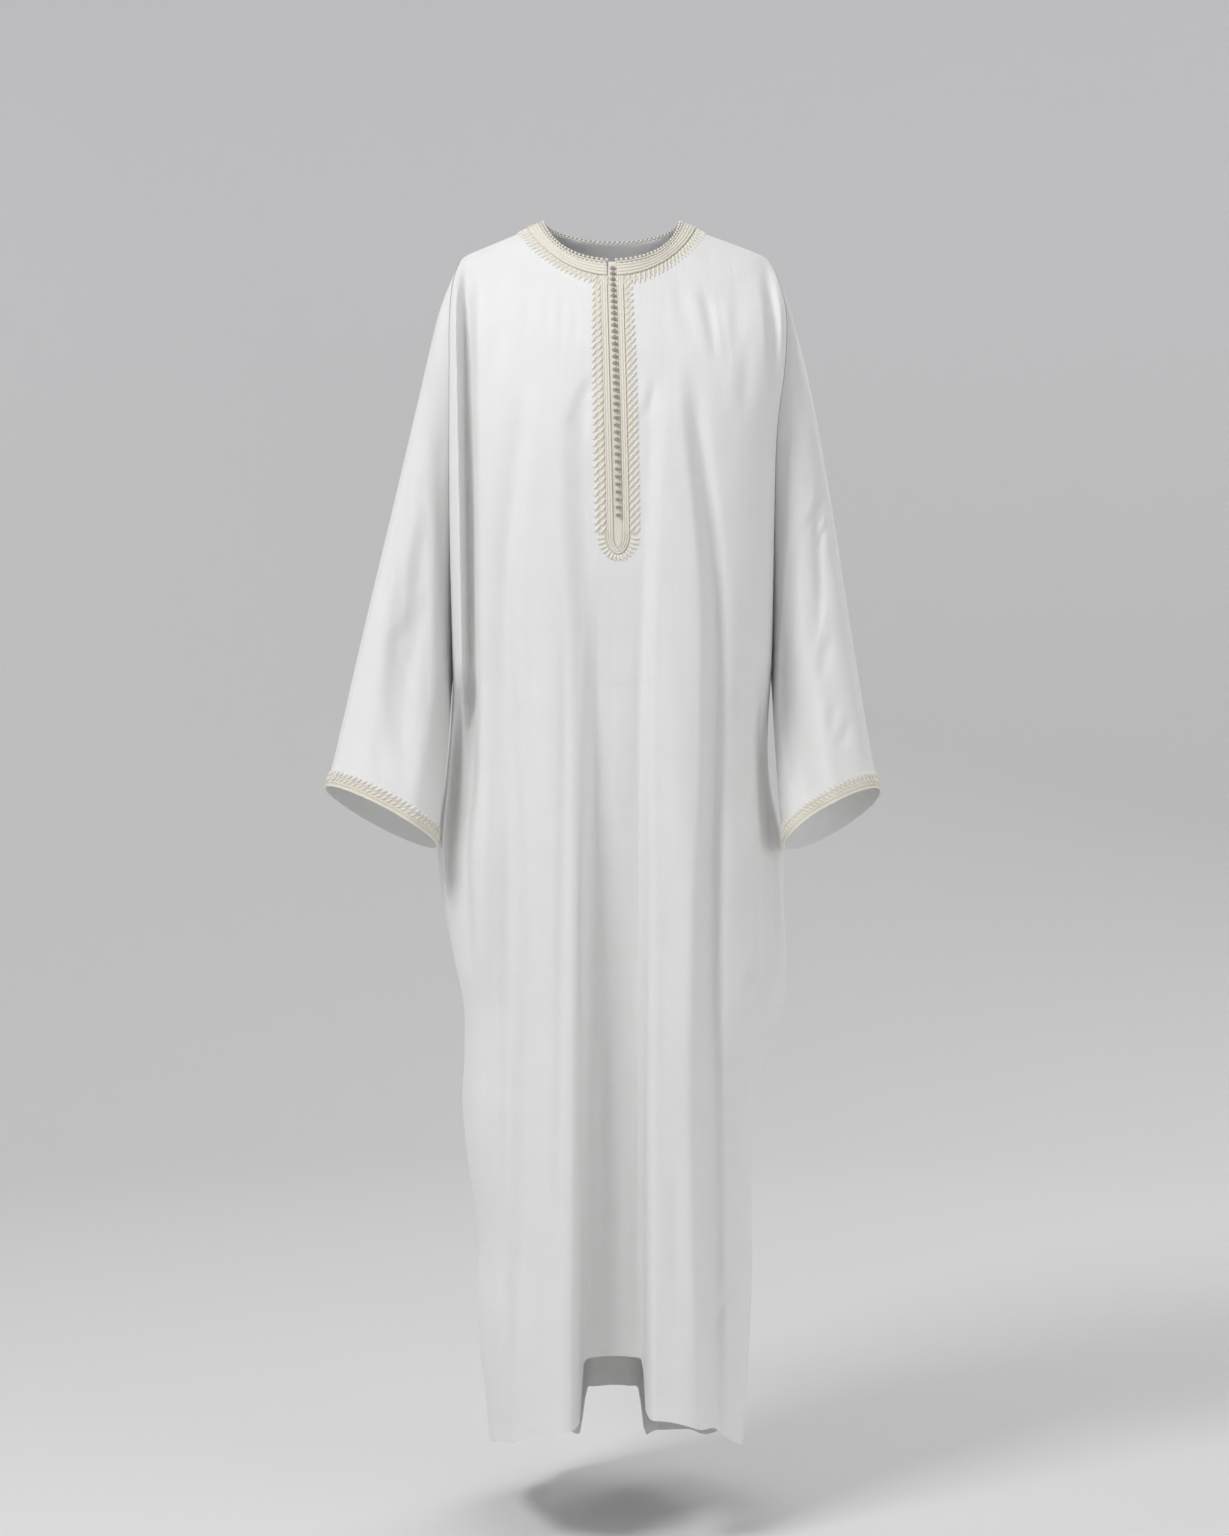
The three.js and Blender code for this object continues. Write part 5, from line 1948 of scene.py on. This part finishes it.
    def build(self, room: Workroom) -> list[bpy.types.Object]:
        """Makes the strips of braid, their cords, the tab, the ground of the stitches and the stitches.

        Args:
            room: makes the pieces.

        Returns:
            The pieces.
        """
        (b_low, b_high), (e_low, e_high) = self.turns
        inner = (self.left_braid[1], self.right_braid[0])
        outer = (self.left_braid[0], self.right_braid[1])
        gap = SEAM_GAP
        braid, ground, thread = SilkBraid(), StitchedGround(), SatinStitch()
        pieces = [
            room.piece(
                "placket_band_left",
                *self.strip(*self.left_braid, *self.band),
                braid,
                ("placket_braid_left",),
            ),
            room.piece(
                "placket_band_right",
                *self.strip(*self.right_braid, *self.band),
                braid,
                ("placket_braid_right",),
            ),
            room.piece(
                "placket_band_end",
                *self.turned_end((inner, b_low), (outer, b_high), self.band[0]),
                braid,
                ("placket_braid_end",),
            ),
            room.piece(
                "placket_button_ground",
                *self.strip(inner[0] + gap, inner[1] - gap, 0.4, 0.2, b_low - gap, start=0.012, notch=1.9),
                ground,
                ("placket_tab",),
            ),
            room.piece(
                "placket_ground_left",
                *self.strip(self.left_edge + self.margin, self.left_braid[0] - gap, *self.ground),
                ground,
                ("placket_embroidery_left",),
            ),
            room.piece(
                "placket_ground_right",
                *self.strip(self.right_braid[1] + gap, self.right_edge - self.margin, *self.ground),
                ground,
                ("placket_embroidery_right",),
            ),
            room.piece(
                "placket_ground_end",
                *self.turned_end(
                    ((outer[0] - gap, outer[1] + gap), e_low),
                    ((self.left_edge + self.margin, self.right_edge - self.margin), e_high - 3.0),
                    self.ground[0],
                ),
                ground,
                ("placket_embroidery_end",),
            ),
        ]
        cord = Cord(radius=0.8)
        lines = [
            self.cord_line(*(lerp(i, o, q) for i, o in zip(inner, outer)), lerp(b_low, b_high, q), 1.55)
            for q in self.cords
        ]
        pieces.append(room.piece("placket_cords", *join([cord.along(*line) for line in lines]), braid))
        for side, left, right in (
            (Side.LEFT, self.left_edge, self.left_braid[0]),
            (Side.RIGHT, self.right_braid[1], self.right_edge),
        ):
            name = f"placket_stitches_{side.name.lower()}"
            pieces.append(room.piece(name, *self.side_stitches(left, right), thread))
        pieces.append(room.piece("placket_stitches_end", *self.end_stitches(), thread))
        return pieces


@dataclass
class Buttons:
    """A close row of knot buttons, each in a loop of thread.

    Attributes:
        count: of buttons.
        radius: of a knot.
        top_z: height of the first one.
        first_step: from the first to the second.
        last_step: from the last but one to the last.
        gap: under each knot.
        loop_root: where a loop leaves the right braid, and half the distance between its ends.
    """

    count: int = 38
    radius: float = 2.25
    top_z: float = -65.0
    first_step: float = 6.7
    last_step: float = 8.8
    gap: float = 0.4
    loop_root: tuple[float, float] = (4.6, 1.1)

    def heights(self) -> Array:
        """Height of each button, with steps that grow evenly.

        Returns:
            The heights, from the top down.
        """
        k = np.arange(self.count)
        spread = (self.last_step - self.first_step) / (2 * (self.count - 1))
        return self.top_z - self.first_step * k - spread * k * k

    def knot(self, centre: Array, normal: Array) -> Shape:
        """One knot: a ball whose radius swells over three strands that wind round it both ways.

        Args:
            centre: the middle of the ball.
            normal: the cloth's normal under it.

        Returns:
            The knot.
        """
        rings, sides = 9, 14
        tilt = np.linspace(0, np.pi, rings + 2)[1:-1, None]
        turn = np.linspace(0, 2 * np.pi, sides + 1)[None, :]
        strands = np.abs(np.sin(1.5 * turn + 2.2 * tilt)) * np.abs(np.sin(1.5 * turn - 2.2 * tilt))
        radius = self.radius * (0.86 + 0.2 * strands)
        across = unit(np.cross(normal, [0.0, 0.0, 1.0]))
        up = np.cross(normal, across)
        way = (
            (np.sin(tilt) * np.cos(turn))[..., None] * across
            + (np.sin(tilt) * np.sin(turn))[..., None] * up
            + (np.cos(tilt) * np.ones_like(turn))[..., None] * normal
        )
        shape = centre + way * radius[..., None]
        quads, tips = ball_faces(rings, sides)
        ends = np.stack([centre + normal * self.radius * 0.86, centre - normal * self.radius * 0.86])
        points = np.concatenate([shape[:, :-1].reshape(-1, 3), ends])
        flat = np.stack(np.broadcast_arrays(turn[:, :-1], tilt), axis=-1).reshape(-1, 2) * self.radius * MM
        flat = np.concatenate([flat, np.zeros((2, 2))])
        return points, [quads, tips], [flat[quads], flat[tips]]

    def loop(self, height: float) -> Shape:
        """The loop of thread from the right braid, round a button and back.

        Args:
            height: of the button.

        Returns:
            The loop.
        """
        turn = np.linspace(-0.82 * np.pi, 0.82 * np.pi, 15)
        x = -0.6 - (self.radius + 0.3) * np.cos(turn)
        z = height + (self.radius + 0.35) * np.sin(turn) * 0.62
        root, spread = self.loop_root
        x = np.concatenate([[root], x[::-1], [root]])
        z = np.concatenate([[height + spread], z[::-1], [height - spread]])
        points, normals = FRONT.on_placket(x, z)
        return Cord(radius=0.38, step=0.9, sides=6, groove=0.0).along(points + normals * 1.0, normals)

    def build(self, room: Workroom) -> list[bpy.types.Object]:
        """Makes each knot as its own piece, and the loops as one.

        Args:
            room: makes the pieces.

        Returns:
            The pieces.
        """
        heights = self.heights()
        points, normals = FRONT.on_placket(np.zeros(self.count), heights)
        centres = points + normals * (self.radius + self.gap + 0.15)
        pieces = []
        for number, (centre, normal) in enumerate(zip(centres, normals), start=1):
            shape = self.knot(centre, normal)
            names = f"knot_button_{number:02d}", (f"button_{number:02d}",)
            pieces.append(room.piece(names[0], *shape, SilverThread(), names[1], sharp=180.0))
        loops = join([self.loop(float(height)) for height in heights])
        pieces.append(room.piece("button_loops", *loops, SilverThread()))
        return pieces


@dataclass
class CuffTrim:
    """Embroidery round a cuff: a corded lip, a fine cord, slanting stitches and small scallops.

    Attributes:
        side: left or right.
        ground: height of the ground, up to its scallops.
        scallop: how far it falls between two scallops.
        pairs: stitches round the cuff.
        cords: for each its height above the edge, how far it lies above the cloth, and what it is.
        stitch_rows: for each row the heights where it starts and ends, its shift and its stitch.
    """

    side: Side
    ground: float = 15.0
    scallop: float = 1.6
    pairs: int = 62
    cords: tuple[tuple[float, float, Cord], ...] = (
        (0.2, 0.3, Cord(radius=1.1)),
        (4.6, 0.8, Cord(radius=0.6)),
        (13.0, 0.8, Cord(radius=0.5)),
    )
    stitch_rows: tuple[tuple[float, float, float, Bar], ...] = (
        (6.6, 12.6, 0.0, Bar(2.4, 1.5)),
        (13.4, 19.4, 0.5, Bar(2.2, 1.4)),
    )

    def at(self, turns: Array, height: Array | float) -> tuple[Array, Array]:
        """Points and normals round the cuff, `height` above its edge.

        Args:
            turns: turns round the cuff.
            height: above its edge, in millimetres.

        Returns:
            The points and the unit normals.
        """
        form = SLEEVES[self.side]
        turns = np.asarray(turns, float)
        length = np.linalg.norm(form.points(turns, 1.0) - form.points(turns, 0.93), axis=-1) / 0.07
        return form.spots(turns, 1 - height / length)

    def ring(self, height: float, lift: float, cord: Cord) -> Shape:
        """A cord round the cuff.

        Args:
            height: above the cuff's edge.
            lift: how far its middle line stands out.
            cord: the cord.

        Returns:
            The ring.
        """
        points, normals = self.at(np.linspace(0, 2 * np.pi, 241), height)
        points[-1], normals[-1] = points[0], normals[0]
        return cord.along(points + normals * lift, normals, closed=True)

    def even_turns(self, count: int) -> Array:
        """Turns that lie evenly along the cuff's edge.

        Args:
            count: of turns.

        Returns:
            The turns.
        """
        turns = np.linspace(0, 2 * np.pi, 721)
        edge = self.at(turns, 0.0)[0]
        length = np.pad(np.linalg.norm(np.diff(edge, axis=0), axis=1).cumsum(), (1, 0))
        return np.interp(np.linspace(0, length[-1], count, endpoint=False), length, turns)

    def build(self, room: Workroom) -> list[bpy.types.Object]:
        """Makes the ground, the cords, the slanting stitches and the scallops.

        Args:
            room: makes the pieces.

        Returns:
            The pieces.
        """
        name = self.side.name.lower()
        form = SLEEVES[self.side]
        turns = np.linspace(0, 2 * np.pi, 4 * self.pairs + 1)
        scallop = self.ground - self.scallop * np.abs(np.sin(turns * self.pairs / 2))
        height = np.linspace(1, 0, 8)[:, None] * scallop[None, :]
        points, normals = self.at(np.broadcast_to(turns, height.shape), height)
        points[:, -1], normals[:, -1] = points[:, 0], normals[:, 0]
        ground = wall(points + normals * 0.5, points + normals * 0.15, around=True, flip=form.turn_over)
        pieces = [
            room.piece(f"cuff_ground_{name}", *ground, StitchedGround(), (f"cuff_embroidery_{name}",)),
        ]
        cords = [self.ring(*cord) for cord in self.cords]
        pieces.append(room.piece(f"cuff_cords_{name}", *join(cords), SilkBraid()))
        even = self.even_turns(self.pairs)
        lean = (even[1] - even[0]) * 0.34
        parts = []
        for low, high, shift, bar in self.stitch_rows:
            middle = even + shift * (even[1] - even[0])
            start, normals = self.at(middle - lean, low)
            end, _ = self.at(middle + lean, high)
            parts.append(bar.between(start + normals * 0.6, end + normals * 0.6, normals))
        pieces.append(room.piece(f"cuff_stitches_{name}", *join(parts), SatinStitch()))
        return pieces


@dataclass(frozen=True)
class Softbox:
    """A square soft light.

    Attributes:
        name: the lamp's name.
        place: where it stands, in metres.
        size: length of its sides, in metres.
        power: in watts.
    """

    name: str
    place: tuple[float, float, float]
    size: float
    power: float


@dataclass
class Studio:
    """The plain pale sweep that the garment is shown in, its soft lights and the camera.

    Attributes:
        camera_y: distance of the camera, which is level.
        camera_z: its height.
        lens: its focal length on a 36 mm high picture.
        sweep: radius, radius of the bend and height of the round sweep, whose wall stands behind every view.
        sides: points round the sweep.
        steps: rings of points in its bend.
        paper: colour of the sweep, high on its wall and down on its floor. The difference is painted light,
            which sets how bright the wall looks against the floor.
        fade: heights in metres between which the first turns into the second.
        softboxes: the lamps.
        tint: their colour.
        aim: the point that they are turned to, in metres.
        surround: colour and strength of the even light from all round.
    """

    camera_y: float = -3300.0
    camera_z: float = -635.0
    lens: float = 66.0
    sweep: tuple[float, float, float] = (5400.0, 2400.0, 3900.0)
    sides: int = 128
    steps: int = 20
    # Painted light: the wall's paper is made a little lighter than the floor's.
    paper: tuple[str, str] = ("#F2F2F4", "#EAEAEA")
    fade: tuple[float, float] = (1.2, -1.2)
    softboxes: tuple[Softbox, ...] = (
        Softbox("key_softbox", (-1.6, -1.8, 1.75), 0.9, 54),
        Softbox("fill_softbox", (2.7, -2.2, -0.3), 2.0, 13),
        Softbox("back_softbox", (1.9, 2.9, 1.3), 1.6, 26),
    )
    tint: tuple[float, float, float] = (0.99, 0.99, 1.0)
    aim: tuple[float, float, float] = (0.0, 0.0, -0.65)
    surround: tuple[str, float] = ("#D2D2D1", 0.72)

    def backdrop(self) -> None:
        """Makes the sweep: a round floor that bends up into a wall along a quarter circle, all round."""
        radius, bend, height = self.sweep
        turn = np.linspace(0, np.pi / 2, self.steps)
        out = np.concatenate([radius - bend + bend * np.sin(turn), [radius]])[:, None]
        up = FLOOR_Z + np.concatenate([bend - bend * np.cos(turn), [height]])[:, None]
        around = np.arange(self.sides) * 2 * np.pi / self.sides
        points = np.stack(np.broadcast_arrays(out * np.cos(around), out * np.sin(around), up), axis=-1)
        i, j = np.meshgrid(np.arange(self.steps), np.arange(self.sides), indexing="ij")
        corner = cells(i.ravel(), j.ravel())
        walls = (corner[:, 0] * self.sides + corner[:, 1] % self.sides).T
        mesh = bpy.data.meshes.new("studio_sweep")
        mesh.from_pydata(points.reshape(-1, 3) * MM, [], [list(range(self.sides)), *walls.tolist()])
        mesh.polygons.foreach_set("use_smooth", np.ones(len(mesh.polygons), bool))
        mesh.materials.append(self.paper_material())
        sweep = bpy.data.objects.new("studio_sweep", mesh)
        bpy.context.scene.collection.objects.link(sweep)

    def paper_material(self) -> bpy.types.Material:
        """Matt background paper, whose tone changes a little from its wall to its floor: painted light, in
        place of a change in the light itself.

        Returns:
            The material.
        """
        material = bpy.data.materials.new("matt_background_paper")
        material.use_nodes = True
        tree = material.node_tree
        place = add_node(tree, "ShaderNodeTexCoord").outputs["Object"]
        level = add_node(tree, "ShaderNodeSeparateXYZ", {0: place}).outputs["Z"]
        ends = {0: level, 1: self.fade[0], 2: self.fade[1]}
        fade = add_node(tree, "ShaderNodeMapRange", ends, interpolation_type="SMOOTHSTEP")
        colour = add_node(
            tree,
            "ShaderNodeMix",
            {0: fade.outputs[0], 6: linear(self.paper[0]), 7: linear(self.paper[1])},
            data_type="RGBA",
        )
        shader = tree.nodes["Principled BSDF"]
        tree.links.new(colour.outputs[2], shader.inputs["Base Color"])
        shader.inputs["Roughness"].default_value = 0.9
        return material

    def light(self, softbox: Softbox) -> None:
        """Makes a softbox, turned to the garment.

        Args:
            softbox: the lamp.
        """
        data = bpy.data.lights.new(softbox.name, "AREA")
        data.energy, data.size, data.color = softbox.power, softbox.size, self.tint
        lamp = bpy.data.objects.new(softbox.name, data)
        bpy.context.scene.collection.objects.link(lamp)
        lamp.location = Vector(softbox.place)
        lamp.rotation_euler = (Vector(self.aim) - lamp.location).to_track_quat("-Z", "Y").to_euler()

    def build(self) -> None:
        """Makes the sweep, the lights, the even light from all round and the camera."""
        self.backdrop()
        for softbox in self.softboxes:
            self.light(softbox)
        world = bpy.data.worlds.new("studio")
        bpy.context.scene.world = world
        world.use_nodes = True
        background = world.node_tree.nodes["Background"]
        background.inputs["Color"].default_value = linear(self.surround[0])
        background.inputs["Strength"].default_value = self.surround[1]
        data = bpy.data.cameras.new("camera")
        data.sensor_fit = "VERTICAL"
        data.sensor_height = 36
        data.lens = self.lens
        camera = bpy.data.objects.new("camera", data)
        camera.location = (0, self.camera_y * MM, self.camera_z * MM)
        camera.rotation_euler = (np.pi / 2, 0, 0)
        bpy.context.scene.collection.objects.link(camera)
        bpy.context.scene.camera = camera
        bpy.context.scene.view_settings.view_transform = "Standard"


@dataclass
class Abaya:
    """The whole garment.

    Attributes:
        front: the front panel.
        back: the back panel.
        sleeves: both sleeves.
        trims: braid, embroidery and buttons.
    """

    front: BodyPanel = field(
        default_factory=lambda: BodyPanel(
            name="front_cloth",
            nodes=("front_panel", "front_skirt"),
            form=FRONT,
            columns=(-90, -60, 60, 90),
            column_counts=(42, 96, 42),
            stations=(0, 1, 2, 3),
            row_counts=(50, 90, 115),
            cut=(0.62, 1.49, 0.81),
            slit=(5.0, 6.8, 0.18),
        )
    )
    back: BodyPanel = field(
        default_factory=lambda: BodyPanel(
            name="back_cloth",
            nodes=("back_panel", "back_skirt"),
            form=BACK,
            columns=(-90, -60, 60, 90),
            column_counts=(34, 64, 34),
            stations=(0, 1, 2, 3),
            row_counts=(36, 70, 100),
            cut=(0.57, 1.5, 0.72),
        )
    )
    sleeves: tuple[Sleeve, ...] = (
        Sleeve(Side.LEFT, ("sleeve_left", "forearm_left"), (0.62, 0.47, 0.144)),
        Sleeve(Side.RIGHT, ("sleeve_right", "forearm_right"), (0.62, 0.47, 0.144)),
    )
    trims: tuple[NeckTrim | Placket | Buttons | CuffTrim, ...] = (
        NeckTrim(),
        Placket(),
        Buttons(),
        CuffTrim(Side.LEFT),
        CuffTrim(Side.RIGHT),
    )

    def build(self, room: Workroom) -> None:
        """Makes every piece, panels first.

        Args:
            room: makes the pieces.
        """
        for part in (self.front, self.back, *self.sleeves, *self.trims):
            part.build(room)
            log.info("%s done", type(part).__name__)


def main() -> None:
    """Builds the studio and the abaya."""
    logging.basicConfig(level=logging.INFO, format="%(name)s: %(message)s")
    Studio().build()
    Abaya().build(Workroom())


if __name__ == "__main__":
    main()
